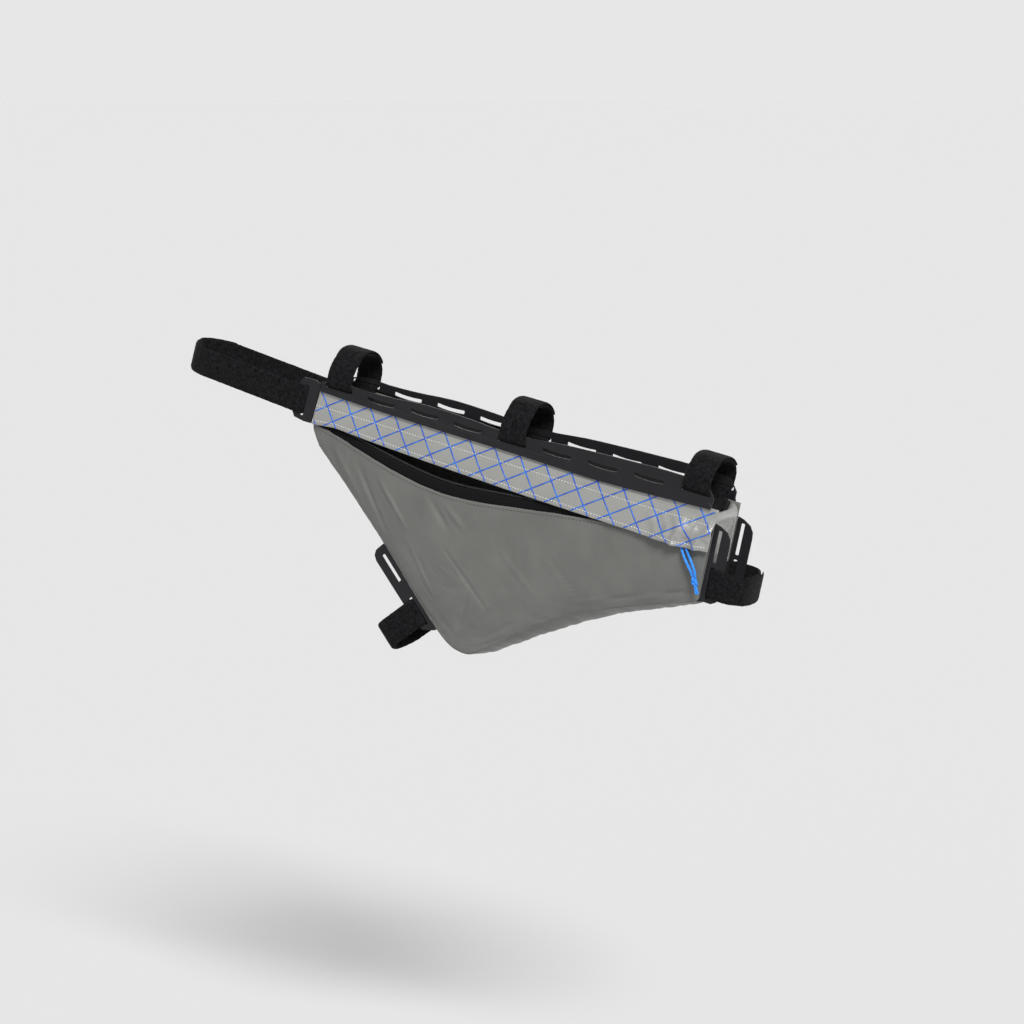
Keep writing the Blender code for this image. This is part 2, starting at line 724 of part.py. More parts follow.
def top_straps():
    """Three straps round the top tube."""
    half = TOP_SLITS // 2
    under = -(TUBE_RADIUS + GAP + STRAP_THICKNESS / 2)
    for name, number in (("top_strap_front", -half), ("top_strap_middle", 0), ("top_strap_rear", half)):
        edge = by_along(STRIP_ROWS, number * SLIT_PITCH / LENGTH).top * DROP
        shoulder = max(-edge + 2 * GAP, -2 * GAP)
        path = strap_path(-slit_drop(number), shoulder, -under, 2.0, under, 2.0, 76, 148)
        centre = place(number * SLIT_PITCH, 0, 0)
        strap(name, path, centre, -place(0, 1, 0), place(1, 0, 0), STRAP_WIDTH)


def down_tube_frame():
    """Middle of the down tube strap on the bag's edge, with its run and reach directions."""
    rows = smooth_rows(DOWN_EDGE, 81)
    index = round(DOWN_STRAP_AT * 80)
    here = at(rows[index].along, rows[index].drop, 0)
    run = (at(rows[index + 8].along, rows[index + 8].drop, 0)
           - at(rows[index - 24].along, rows[index - 24].drop, 0)).normalized()
    reach = Vector((run.z, 0, -run.x))
    return here, run, reach


def down_tube_mount():
    here, run, reach = down_tube_frame()
    slits = [(0.0, FLAP_SLIT_REACH), (-DOWN_SLIT_STEP, FLAP_SLIT_REACH)]
    for name, side in (("near_down_tube_flap", -1), ("far_down_tube_flap", 1)):
        flap(name, side, DOWN_FLAP, here, run, reach, slits)
    seat = 2 * GAP + STRAP_THICKNESS / 2
    crown = seat + DOWN_TUBE_DEPTH + STRAP_THICKNESS
    shoulder = crown - DOWN_TUBE_NOSE
    path = strap_path(FLAP_SLIT_REACH, shoulder, crown, 2.3, seat, 5.0, 100, 156)
    strap("down_tube_strap", path, here, reach, run, STRAP_WIDTH)


def rear_mount():
    edge = BOTTOM_EDGE[-1].along
    here = place(edge * LENGTH + GAP, REAR_STRAP_DROP * DROP, 0)
    run = place(0, 1, 0)
    reach = place(1, 0, 0)
    slits = [(0.0, FLAP_SLIT_REACH), (-REAR_SLIT_STEP, FLAP_SLIT_REACH)]
    for name, side in (("near_rear_flap", -1), ("far_rear_flap", 1)):
        flap(name, side, REAR_FLAP, here, run, reach, slits)
    seat = 2 * GAP + STRAP_THICKNESS / 2
    crown = seat + SEAT_TUBE_DEPTH + STRAP_THICKNESS
    shoulder = crown - SEAT_TUBE_NOSE
    path = strap_path(FLAP_SLIT_REACH, shoulder, crown, 2.3, seat, 5.0, 70, 128)
    strap("seat_tube_strap", path, here, reach, run, STRAP_WIDTH)


def front_mount():
    tilt = math.radians(SLOPE + HEAD_TILT)
    reach = Vector((-math.cos(tilt), 0, math.sin(tilt)))
    run = Vector((-math.sin(tilt), 0, -math.cos(tilt)))
    here = at(FRONT_END, FRONT_STRAP_DROP, 0) + reach * FRONT_FLAP_STEP
    slits = [(0.0, FRONT_SLIT_REACH)]
    for name, side in (("near_front_flap", -1), ("far_front_flap", 1)):
        flap(name, side, FRONT_FLAP, here, run, reach, slits)
    crown = FRONT_SLIT_REACH + HEAD_REACH
    path = strap_path(FRONT_SLIT_REACH, crown - STRAP_SIDE, crown, 2.0, HEAD_SEAT, 5.0, 112, 168)
    strap("head_tube_strap", path, here, reach, run, STRAP_WIDTH)


def tape_top_share(along):
    """How tall the lower tape stands above the lip, as a share of TAPE_HEIGHT."""
    rise = min(max((along - FRONT_END) / 0.28, 0.0), 1.0)
    fall = min(max((0.36 - along) / 0.46, 0.0), 1.0)
    return 0.12 + 0.68 * math.sin(rise * math.pi / 2) * math.sin(fall * math.pi / 2) ** 1.5


def zip_parts():
    """Two tapes with a coil on each facing edge, open right to the slider."""
    inset = CLOTH + GAP
    lower = []
    coil = []
    for rib in smooth_rows(NEAR_RIBS, 34)[1:-1]:
        side = inset - rib.depth * HALF_DEPTH
        tall = tape_top_share(rib.along) * TAPE_HEIGHT
        lip = place(rib.along * LENGTH, rib.drop * DROP, side)
        top = place(rib.along * LENGTH, rib.drop * DROP - tall, side)
        along, drop, depth = near_point(rib, TAPE_UNDERLAP)
        foot = at(along, drop, -depth) + Vector((0, inset, 0))
        lower.append([foot, lip, top])
        coil.append(place(rib.along * LENGTH, rib.drop * DROP - tall - COIL_RADIUS - GAP,
                          side + TAPE / 2))
    sheet("zip_tape_lower", lower, TAPE, (0, -1, 0), "zip_tape")
    tube("zip_coil_lower", coil, COIL_RADIUS, 1, "zip_coil")
    upper = []
    coil = []
    for row in smooth_rows(BAND_ROWS, 28)[1:-1]:
        along = row.along * LENGTH
        foot_drop = UPPER_ZIP_DROP
        line = []
        for step in range(3):
            drop = foot_drop - UPPER_TAPE_HEIGHT * (2 - step) / 2
            line.append(place(along, drop, inset - band_side(row, drop)))
        upper.append(line)
        coil_drop = foot_drop + COIL_RADIUS + GAP
        coil.append(place(along, coil_drop, inset + COIL_RADIUS - band_side(row, coil_drop)))
    sheet("zip_tape_upper", upper, TAPE, (0, -1, 0), "zip_tape")
    tube("zip_coil_upper", coil, COIL_RADIUS, 1, "zip_coil")


def tube(name, points, radius, resolution, slot):
    """A round cord along a smooth route, with filled ends."""
    curve = bpy.data.curves.new(name, "CURVE")
    curve.dimensions = "3D"
    curve.bevel_depth = radius
    curve.bevel_resolution = resolution
    curve.use_fill_caps = True
    spline = curve.splines.new("POLY")
    spline.points.add(len(points) - 1)
    for control, point in zip(spline.points, points):
        control.co = (*point, 1.0)
    obj = add_object(name, curve)
    curve.materials.append(material(slot))
    return obj


def rounded_box(name, centre, size, axes, bevel, slot):
    """A small block with rounded edges; axes are its three directions."""
    body = bmesh.new()
    bmesh.ops.create_cube(body, size=1.0)
    for vertex in body.verts:
        offset = [vertex.co[k] * size[k] for k in range(3)]
        vertex.co = centre + axes[0] * offset[0] + axes[1] * offset[1] + axes[2] * offset[2]
    body.normal_update()
    bmesh.ops.recalc_face_normals(body, faces=body.faces[:])
    mesh = bpy.data.meshes.new(name)
    body.to_mesh(mesh)
    body.free()
    obj = add_object(name, mesh)
    rounding = obj.modifiers.new("rounding", "BEVEL")
    rounding.width = bevel
    rounding.segments = 2
    return finish(obj, slot)


def slider_point():
    """The slider's middle, over the coil and above the lip, as along, drop and side in metres."""
    rib = by_along(NEAR_RIBS, SLIDER_ALONG)
    drop = rib.drop * DROP - GAP - SLIDER_HEIGHT / 2
    coil_face = rib.depth * HALF_DEPTH - CLOTH - GAP - TAPE / 2 + COIL_RADIUS
    return rib.along * LENGTH, drop, -(coil_face + GAP / 2 + SLIDER_DEPTH / 2)


def zip_pull():
    """The slider behind the band, the two legs of the pull cord and its knot."""
    along, drop, side = slider_point()
    axes = (place(1, 0, 0), Vector((0, 1, 0)), place(0, 1, 0))
    body = place(along + SLIDER_SHIFT, drop, side)
    rounded_box("zip_slider", body, (SLIDER_LENGTH, SLIDER_DEPTH, SLIDER_HEIGHT), axes,
                SLIDER_BEVEL, "zip_coil")
    exit_drop = drop + SLIDER_HEIGHT / 2 + GAP / 2
    exit_side = side - CORD_RADIUS
    for name, route in (("pull_cord_front_leg", FRONT_LEG), ("pull_cord_rear_leg", REAR_LEG)):
        points = []
        for row in smooth_rows(route, 15):
            points.append(place(along + row.along * CORD_DROP, exit_drop + row.drop * CORD_DROP,
                                exit_side + row.side * CORD_DROP))
        tube(name, points, CORD_RADIUS, 2, "cord")
    mean = [(a + b) / 2 * CORD_DROP for a, b in zip(FRONT_LEG[-1], REAR_LEG[-1])]
    knot(along + mean[0], exit_drop + mean[1] + GAP, exit_side + mean[2], axes)


def knot(along, drop, side, axes):
    """An overhand knot in outer form: a turned body with a short tail, from its upper end."""
    sides = 10
    body = bmesh.new()
    rings = []
    for row in KNOT:
        down = row.drop * CORD_RADIUS
        radius = row.radius * CORD_RADIUS
        centre = place(along + KNOT_LEAN * down, drop + down, side)
        ring = []
        for k in range(sides):
            turn = 2 * math.pi * k / sides
            ring.append(body.verts.new(centre + axes[0] * radius * math.cos(turn)
                                       + axes[1] * radius * KNOT_FLAT * math.sin(turn)))
        rings.append(ring)
    for ring, following in zip(rings, rings[1:]):
        for k in range(sides):
            after = (k + 1) % sides
            body.faces.new((ring[k], ring[after], following[after], following[k]))
    body.faces.new(rings[0][::-1])
    body.faces.new(rings[-1])
    bmesh.ops.recalc_face_normals(body, faces=body.faces[:])
    mesh = bpy.data.meshes.new("pull_cord_knot")
    body.to_mesh(mesh)
    body.free()
    return finish(add_object("pull_cord_knot", mesh), "cord")


def main():
    clear_scene()
    near_panel()
    near_band()
    far_panel()
    gussets()
    front_gusset()
    top_panel()
    mount_strip("near_mount_strip", -1)
    mount_strip("far_mount_strip", 1)
    top_straps()
    down_tube_mount()
    rear_mount()
    front_mount()
    zip_parts()
    zip_pull()


main()
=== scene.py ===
"""Looks of the bicycle frame bag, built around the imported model.

The sheets of cloth follow the same tables as the part's source, with more points, and are then
creased, pulled and stitched. Tube coordinates are along (towards the rear, down the top tube),
drop (down, square to the top tube) and side (negative on the near side).
"""

import math
from collections import namedtuple

import bmesh
import bpy
import numpy as np
from mathutils import Matrix, Vector, noise


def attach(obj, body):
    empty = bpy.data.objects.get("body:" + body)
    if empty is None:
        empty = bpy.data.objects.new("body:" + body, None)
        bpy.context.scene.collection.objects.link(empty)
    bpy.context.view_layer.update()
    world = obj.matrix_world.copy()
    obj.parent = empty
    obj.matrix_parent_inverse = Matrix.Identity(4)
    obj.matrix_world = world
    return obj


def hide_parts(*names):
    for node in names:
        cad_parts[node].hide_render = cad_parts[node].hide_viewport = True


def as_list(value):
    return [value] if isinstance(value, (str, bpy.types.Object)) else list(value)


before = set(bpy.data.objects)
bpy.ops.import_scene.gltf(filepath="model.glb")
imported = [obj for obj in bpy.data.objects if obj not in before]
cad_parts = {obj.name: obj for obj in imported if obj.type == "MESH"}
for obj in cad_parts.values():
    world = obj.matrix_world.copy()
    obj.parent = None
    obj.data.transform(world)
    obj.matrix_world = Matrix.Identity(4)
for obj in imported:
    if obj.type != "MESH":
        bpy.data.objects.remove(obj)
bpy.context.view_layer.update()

# Driving dimensions, in metres and degrees, as in the part's source
LENGTH = 0.386
DROP = 0.205
HALF_DEPTH = 0.030
SLOPE = 12.4
TUBE_RADIUS = 0.0210
TUBE_PLAY = 0.0022
STRAP_WIDTH = 0.025
STRAP_THICKNESS = 0.0019
STRIP_THICKNESS = 0.0014
CLOTH = 0.0012
TAPE = 0.0009
TAPE_HEIGHT = 0.0125
TAPE_UNDERLAP = 0.03
COIL_RADIUS = 0.0011
UPPER_TAPE_HEIGHT = 0.0080
UPPER_ZIP_DROP = 0.183 * DROP
GAP = 0.0004
SLIT_SHARE = 0.44
SLIT_PITCH = 0.1114 * LENGTH
TOP_SLITS = 9
BAND_TOP = 0.0142
FLAT_TO = 0.0205
BAND_BOW = 0.0010
CRADLE = 0.0112
REAR_TURN = 0.0070
DOWN_TUBE_DEPTH = 0.0510
DOWN_TUBE_NOSE = 0.0170
SEAT_TUBE_DEPTH = 0.0315
SEAT_TUBE_NOSE = 0.0150
HEAD_REACH = 0.129
HEAD_SEAT = 0.0045
HEAD_TILT = 3.6
FRONT_FLAP_STEP = 0.0016
FLAP_SLIT_REACH = 0.0062
FRONT_SLIT_REACH = 0.0120
DOWN_STRAP_AT = 0.795
REAR_STRAP_DROP = 0.368
FRONT_STRAP_DROP = 0.140
FRONT_END = -0.492
CORD_RADIUS = 0.0011
CORD_DROP = 0.0250
KNOT_LEAN = 0.45
SLIDER_ALONG = 0.445
SLIDER_SHIFT = 0.0016
SLIDER_LENGTH = 0.0070
SLIDER_DEPTH = 0.0018
SLIDER_HEIGHT = 0.0042

WING_SIDE = TUBE_RADIUS + TUBE_PLAY + STRIP_THICKNESS
STRAP_SIDE = WING_SIDE + GAP + STRAP_THICKNESS / 2
STRAP_LAYER = STRAP_THICKNESS + GAP
BAG_SIDE = WING_SIDE + GAP
GUSSET_HALF = BAG_SIDE - CLOTH - GAP

# Camera: where it looks, how far away it stands, its angles and its lens
LOOK_AT = Vector((-0.0143, 0.0, -0.0729))
CAMERA_DISTANCE = 2.564
CAMERA_YAW = 27.0
CAMERA_PITCH = 8.0
CAMERA_LENS = 105.5
FLOOR_Z = -0.60
# Sky: how high a direction points, from 0 to 1, and how bright it is there
SKY = [
    (0.05, 0.80),
    (0.30, 0.46),
    (1.00, 0.40),
]
FLOOR_SHADE = 0.60
# Soft lights: name, azimuth and elevation, softness in degrees, strength
LIGHTS = [
    ("key", (46.0, 42.0), 20.0, 3.3),
    ("rim", (-150.0, 35.0), 40.0, 1.0),
]

Edge = namedtuple("Edge", "along drop bulge")
DOWN_EDGE = [
    Edge(FRONT_END, 0.235, 0.00),
    Edge(-0.468, 0.302, 0.00),
    Edge(-0.430, 0.362, 0.00),
    Edge(-0.381, 0.435, 0.00),
    Edge(-0.327, 0.520, 0.00),
    Edge(-0.268, 0.614, 0.00),
    Edge(-0.208, 0.716, 0.00),
    Edge(-0.146, 0.822, 0.02),
    Edge(-0.088, 0.915, 0.03),
    Edge(-0.055, 0.957, 0.04),
]
BOTTOM_EDGE = [
    Edge(-0.055, 0.957, 0.04),
    Edge(-0.030, 0.972, 0.08),
    Edge(-0.004, 0.972, 0.12),
    Edge(0.022, 0.945, 0.16),
    Edge(0.062, 0.885, 0.22),
    Edge(0.110, 0.806, 0.30),
    Edge(0.170, 0.727, 0.34),
    Edge(0.238, 0.656, 0.30),
    Edge(0.310, 0.592, 0.25),
    Edge(0.385, 0.534, 0.22),
    Edge(0.450, 0.488, 0.18),
    Edge(0.492, 0.458, 0.12),
    Edge(0.503, 0.435, 0.06),
]
Rib = namedtuple("Rib", "along drop depth foot swell")
NEAR_RIBS = [
    Rib(-0.490, 0.222, 0.890, 0.000, 0.00),
    Rib(-0.466, 0.226, 0.930, 0.042, 0.02),
    Rib(-0.428, 0.236, 0.985, 0.088, 0.04),
    Rib(-0.363, 0.262, 1.060, 0.155, 0.07),
    Rib(-0.285, 0.296, 1.120, 0.230, 0.10),
    Rib(-0.207, 0.320, 1.160, 0.305, 0.12),
    Rib(-0.137, 0.331, 1.180, 0.380, 0.13),
    Rib(-0.072, 0.328, 1.180, 0.450, 0.13),
    Rib(0.000, 0.312, 1.165, 0.515, 0.13),
    Rib(0.065, 0.294, 1.145, 0.570, 0.13),
    Rib(0.130, 0.275, 1.125, 0.625, 0.13),
    Rib(0.207, 0.256, 1.100, 0.690, 0.13),
    Rib(0.285, 0.242, 1.075, 0.765, 0.12),
    Rib(0.363, 0.234, 1.040, 0.845, 0.10),
    Rib(0.440, 0.230, 0.990, 0.925, 0.06),
    Rib(0.503, 0.229, 0.905, 1.000, 0.01),
]
BandRow = namedtuple("BandRow", "along drop depth")
BAND_ROWS = [
    BandRow(FRONT_END, 0.222, 0.945),
    BandRow(-0.455, 0.212, 1.010),
    BandRow(-0.420, 0.206, 1.060),
    BandRow(-0.340, 0.213, 1.100),
    BandRow(-0.200, 0.223, 1.110),
    BandRow(-0.050, 0.231, 1.130),
    BandRow(0.100, 0.237, 1.165),
    BandRow(0.240, 0.240, 1.190),
    BandRow(0.370, 0.245, 1.170),
    BandRow(0.450, 0.246, 1.150),
    BandRow(0.506, 0.240, 0.985),
]
StripRow = namedtuple("StripRow", "along top foot")
STRIP_ROWS = [
    StripRow(FRONT_END, 0.038, 0.077),
    StripRow(-0.446, 0.017, 0.079),
    StripRow(-0.389, 0.021, 0.083),
    StripRow(-0.311, 0.016, 0.086),
    StripRow(-0.220, 0.003, 0.088),
    StripRow(-0.117, 0.006, 0.089),
    StripRow(-0.040, 0.014, 0.089),
    StripRow(0.030, 0.013, 0.090),
    StripRow(0.117, -0.004, 0.093),
    StripRow(0.207, -0.014, 0.095),
    StripRow(0.285, -0.021, 0.091),
    StripRow(0.363, -0.026, 0.085),
    StripRow(0.430, -0.024, 0.079),
    StripRow(0.466, -0.018, 0.076),
    StripRow(0.489, 0.030, 0.074),
]
# Folds of the near panel: start and end in shares of LENGTH and DROP, height as a share of
# HALF_DEPTH and half width as a share of LENGTH; the first six are the solid's own
Fold = namedtuple("Fold", "along drop to_along to_drop height width")
FOLDS = [
    Fold(-0.40, 0.30, -0.22, 0.62, 0.050, 0.022),
    Fold(-0.33, 0.36, -0.10, 0.80, -0.050, 0.022),
    Fold(-0.18, 0.42, 0.00, 0.76, 0.055, 0.026),
    Fold(0.02, 0.38, 0.10, 0.60, -0.045, 0.030),
    Fold(-0.02, 0.94, 0.12, 0.72, -0.050, 0.018),
    Fold(0.36, 0.45, 0.47, 0.42, -0.040, 0.020),
]
CREASES = [
    Fold(-0.43, 0.27, -0.33, 0.47, 0.030, 0.007),
    Fold(-0.36, 0.31, -0.24, 0.60, -0.028, 0.006),
    Fold(-0.30, 0.34, -0.20, 0.53, 0.024, 0.005),
    Fold(-0.16, 0.36, -0.10, 0.47, -0.030, 0.007),
    Fold(-0.12, 0.37, -0.06, 0.45, 0.030, 0.007),
    Fold(-0.20, 0.56, -0.08, 0.84, 0.022, 0.006),
    Fold(-0.10, 0.55, 0.03, 0.76, -0.016, 0.004),
    Fold(0.04, 0.50, 0.16, 0.68, 0.012, 0.004),
    Fold(0.14, 0.44, 0.25, 0.60, -0.010, 0.004),
    Fold(-0.03, 0.90, 0.06, 0.66, 0.030, 0.008),
    Fold(-0.04, 0.92, -0.02, 0.70, -0.024, 0.006),
    Fold(0.02, 0.90, 0.10, 0.76, -0.022, 0.006),
    Fold(0.22, 0.62, 0.30, 0.55, 0.022, 0.006),
    Fold(0.30, 0.56, 0.37, 0.50, -0.024, 0.006),
    Fold(0.35, 0.54, 0.42, 0.47, 0.026, 0.006),
    Fold(0.42, 0.47, 0.48, 0.42, -0.028, 0.007),
]
CordPoint = namedtuple("CordPoint", "along drop side")
FRONT_LEG = [
    CordPoint(0.000, 0.000, 0.000),
    CordPoint(0.014, 0.120, 0.000),
    CordPoint(0.058, 0.240, -0.016),
    CordPoint(0.158, 0.384, -0.048),
    CordPoint(0.288, 0.536, -0.080),
    CordPoint(0.418, 0.680, -0.096),
    CordPoint(0.526, 0.808, -0.092),
    CordPoint(0.598, 0.912, -0.072),
    CordPoint(0.634, 0.992, -0.052),
]
REAR_LEG = [
    CordPoint(0.128, 0.000, 0.000),
    CordPoint(0.171, 0.120, 0.000),
    CordPoint(0.250, 0.240, -0.016),
    CordPoint(0.373, 0.384, -0.048),
    CordPoint(0.495, 0.528, -0.080),
    CordPoint(0.600, 0.664, -0.096),
    CordPoint(0.679, 0.792, -0.092),
    CordPoint(0.722, 0.912, -0.072),
    CordPoint(0.736, 1.008, -0.052),
]
Crossing = namedtuple("Crossing", "inward out")
CROSSING = [
    Crossing(0.00, 1.90),
    Crossing(0.05, 1.00),
    Crossing(0.37, 0.32),
    Crossing(0.90, 0.00),
    Crossing(1.47, -0.05),
    Crossing(1.95, -0.37),
]
CROSSING_END = Crossing(2.21, -0.95)

# The band's grid of blue threads: how far a thread runs along for each metre of drop
Thread = namedtuple("Thread", "slant start pitch")
THREADS = [
    Thread(0.925, -0.0130, 0.02445),
    Thread(-1.430, 0.0338, 0.02550),
]
THREAD_HALF = 0.00060

# Rows of stitches: distance in from the sheet's edge, then a stitch's length, gap and radius
Stitch = namedtuple("Stitch", "inset length gap radius")
LIP_STITCH = Stitch(0.0026, 0.0024, 0.0010, 0.00024)
BAND_FOOT_STITCH = Stitch(0.0034, 0.0017, 0.0010, 0.00036)
BAND_MIDDLE_STITCH = Stitch(0.0145, 0.0017, 0.0010, 0.00036)

# How a side's cloth buckles: share cut too large, frames, bending stiffness, furthest shift
Buckle = namedtuple("Buckle", "excess frames bending cap")
NEAR_BUCKLE = Buckle(0.036, 30, 0.35, 0.0042)
FAR_BUCKLE = Buckle(0.030, 26, 0.40, 0.0036)

SEAM_GAP = 1.6 * GAP         # between the strips that meet at a corner
COIL_WIRE = 0.00034
COIL_PITCH = 0.00150
# The knot's turns: middle below the legs' ends, and half sizes along, down and across
KNOT_MIDDLE = 0.0034
KNOT_WIDE = 0.00082
KNOT_TALL = 0.00095
KNOT_DEEP = 0.00092
TAIL_FROM = 0.0050
TAIL_LENGTH = 0.0078
CREASE_LIFT = 2.4            # the fine folds stand out this much more than their table says
CRUMPLE_FROM = 0.33          # share of LENGTH from which the band is crumpled


def place(along, drop, side):
    """Tube coordinates to world coordinates."""
    slope = math.radians(SLOPE)
    x = along * math.cos(slope) - drop * math.sin(slope)
    z = -along * math.sin(slope) - drop * math.cos(slope)
    return Vector((x, side, z))


def at(along, drop, side):
    """Shares of LENGTH, DROP and HALF_DEPTH to world coordinates."""
    return place(along * LENGTH, drop * DROP, side * HALF_DEPTH)


def smooth_rows(rows, count):
    """count rows, evenly spaced on a smooth curve through the table's rows."""
    kind = type(rows[0])
    result = []
    for step in range(count):
        position = step * (len(rows) - 1) / (count - 1)
        index = min(int(position), len(rows) - 2)
        t = position - index
        before = rows[max(index - 1, 0)]
        after = rows[min(index + 2, len(rows) - 1)]
        values = []
        for a, b, c, d in zip(before, rows[index], rows[index + 1], after):
            tangent_in = (c - a) / 2
            tangent_out = (d - b) / 2
            cubic = (2 * t**3 - 3 * t**2 + 1) * b + (t**3 - 2 * t**2 + t) * tangent_in
            values.append(cubic + (-2 * t**3 + 3 * t**2) * c + (t**3 - t**2) * tangent_out)
        result.append(kind(*values))
    return result


def between(fine, position):
    """A row of a fine table at a fractional index."""
    index = min(max(int(position), 0), len(fine) - 2)
    t = position - index
    return type(fine[0])(*[a + (b - a) * t for a, b in zip(fine[index], fine[index + 1])])


PERIMETER = smooth_rows(DOWN_EDGE + BOTTOM_EDGE[1:], 8 * (len(DOWN_EDGE + BOTTOM_EDGE) - 2) + 1)
FINE_BAND = smooth_rows(BAND_ROWS, 12 * (len(BAND_ROWS) - 1) + 1)
FINE_RIBS = smooth_rows(NEAR_RIBS, 6 * (len(NEAR_RIBS) - 1) + 1)
FINE_STRIP = smooth_rows(STRIP_ROWS, 6 * (len(STRIP_ROWS) - 1) + 1)


def perimeter(share):
    """A point of the bag's lower perimeter, from the front corner to the rear corner."""
    return between(PERIMETER, min(share, 1.0) * (len(PERIMETER) - 1))


def by_along(fine, along):
    """A fine table's row where its along column reaches the given share."""
    for index in range(len(fine) - 1):
        if along <= fine[index + 1].along:
            break
    first = fine[index]
    second = fine[index + 1]
    t = (along - first.along) / (second.along - first.along)
    return between(fine, index + min(max(t, 0.0), 1.0))


def smooth_step(low, high, value):
    t = min(max((value - low) / (high - low), 0.0), 1.0)
    return t * t * (3 - 2 * t)


def fold_height(folds, along, drop):
    """How far the folds lift the near panel there, as a share of HALF_DEPTH."""
    lift = 0.0
    here_x = along * LENGTH
    here_y = drop * DROP
    for fold in folds:
        start_x = fold.along * LENGTH
        start_y = fold.drop * DROP
        run_x = fold.to_along * LENGTH - start_x
        run_y = fold.to_drop * DROP - start_y
        t = ((here_x - start_x) * run_x + (here_y - start_y) * run_y) / (run_x**2 + run_y**2)
        t = min(max(t, 0.0), 1.0)
        distance = math.hypot(here_x - start_x - run_x * t, here_y - start_y - run_y * t)
        fade = math.sin(math.pi * (0.08 + 0.84 * t))
        lift += fold.height * fade * math.exp(-(distance / (fold.width * LENGTH)) ** 2)
    return lift


def near_point(rib, foot, t):
    """Along, drop and depth shares of the near panel on one rib, t from lip to foot."""
    along = rib.along + (foot.along - rib.along) * t
    drop = rib.drop + (foot.drop - rib.drop) * t
    edge_fade = math.sin(math.pi * t)
    depth = rib.depth + (BAG_SIDE / HALF_DEPTH - rib.depth) * t
    depth += (rib.swell + fold_height(FOLDS, along, drop)) * edge_fade
    return along, drop, depth


def band_side(row, drop):
    """Outer face of the near band at a drop, in metres from the bag's middle plane."""
    t = min(max((drop - FLAT_TO) / (row.drop * DROP - FLAT_TO), 0.0), 1.0)
    return BAG_SIDE + (row.depth * HALF_DEPTH - BAG_SIDE) * t + BAND_BOW * math.sin(math.pi * t)


def ripple(x, y, scale, seed):
    """Smooth noise from -1 to 1 over metres."""
    return noise.noise(Vector((x / scale, y / scale, seed * 7.31)))


# Materials


def new_material(slot, colour, roughness):
    """A Principled material; returns it with its node tree and shader."""
    made = bpy.data.materials.new(slot)
    made.use_nodes = True
    tree = made.node_tree
    shader = tree.nodes["Principled BSDF"]
    shader.inputs["Base Color"].default_value = (*colour, 1.0)
    shader.inputs["Roughness"].default_value = roughness
    made.diffuse_color = (*colour, 1.0)
    return made, tree, shader


def add_node(tree, kind, **values):
    node = tree.nodes.new(kind)
    for name, value in values.items():
        if hasattr(node, name):
            setattr(node, name, value)
        else:
            node.inputs[name.replace("_", " ")].default_value = value
    return node


def math_node(tree, operation, first, second=None):
    """A Math node on sockets or numbers; returns its output."""
    node = tree.nodes.new("ShaderNodeMath")
    node.operation = operation
    for index, value in enumerate((first, second)):
        if value is None:
            continue
        if isinstance(value, (int, float)):
            node.inputs[index].default_value = value
        else:
            tree.links.new(value, node.inputs[index])
    return node.outputs[0]


def coordinates(tree, kind="UV"):
    """The U and V, or X and Z, of a point in metres, as two sockets and the whole vector."""
    source = tree.nodes.new("ShaderNodeTexCoord")
    split = tree.nodes.new("ShaderNodeSeparateXYZ")
    tree.links.new(source.outputs[kind], split.inputs[0])
    second = split.outputs["Y"] if kind == "UV" else split.outputs["Z"]
    return split.outputs["X"], second, source.outputs[kind]


def wave(tree, value, pitch):
    """0 to 1 and back over each pitch."""
    turns = math_node(tree, "MULTIPLY", value, 2 * math.pi / pitch)
    sine = math_node(tree, "SINE", turns)
    return math_node(tree, "ADD", math_node(tree, "MULTIPLY", sine, 0.5), 0.5)


def noise_node(tree, vector, scale, detail=3.0):
    node = add_node(tree, "ShaderNodeTexNoise", Scale=scale, Detail=detail)
    tree.links.new(vector, node.inputs["Vector"])
    return node.outputs["Fac"]


def blend_colours(tree, factor, first, second, shader):
    """Sends a mix of two colours, by a factor socket, to the shader's base colour."""
    ramp = tree.nodes.new("ShaderNodeValToRGB")
    ramp.color_ramp.elements[0].color = (*first, 1.0)
    ramp.color_ramp.elements[1].color = (*second, 1.0)
    tree.links.new(factor, ramp.inputs["Fac"])
    tree.links.new(ramp.outputs["Color"], shader.inputs["Base Color"])
    return ramp


def bump(tree, height, distance, strength, shader):
    node = add_node(tree, "ShaderNodeBump", Distance=distance, Strength=strength)
    tree.links.new(height, node.inputs["Height"])
    tree.links.new(node.outputs["Normal"], shader.inputs["Normal"])
    return node


def ripstop(slot, dark, light, roughness, grid_pitch, weave_pitch, crinkle):
    """Woven cloth with a fine grid of heavier threads and slight unevenness."""
    made, tree, shader = new_material(slot, light, roughness)
    u, v, vector = coordinates(tree)
    weave = math_node(tree, "MULTIPLY", wave(tree, u, weave_pitch), wave(tree, v, weave_pitch))
    grid_u = math_node(tree, "POWER", wave(tree, u, grid_pitch), 14.0)
    grid_v = math_node(tree, "POWER", wave(tree, v, grid_pitch), 14.0)
    grid = math_node(tree, "MAXIMUM", grid_u, grid_v)
    patches = noise_node(tree, vector, 26.0, 4.0)
    crumple = noise_node(tree, vector, 190.0, 6.0)
    fine = math_node(tree, "ADD", math_node(tree, "MULTIPLY", weave, 0.42),
                     math_node(tree, "MULTIPLY", grid, 0.30))
    height = math_node(tree, "ADD", fine, math_node(tree, "MULTIPLY", crumple, crinkle))
    tint = math_node(tree, "ADD", math_node(tree, "MULTIPLY", patches, 0.75),
                     math_node(tree, "MULTIPLY", fine, 0.35))
    blend_colours(tree, tint, dark, light, shader)
    bump(tree, height, 0.00022, 0.55, shader)
    shader.inputs["Sheen Weight"].default_value = 0.18
    shader.inputs["Sheen Roughness"].default_value = 0.45
    return made, tree, shader


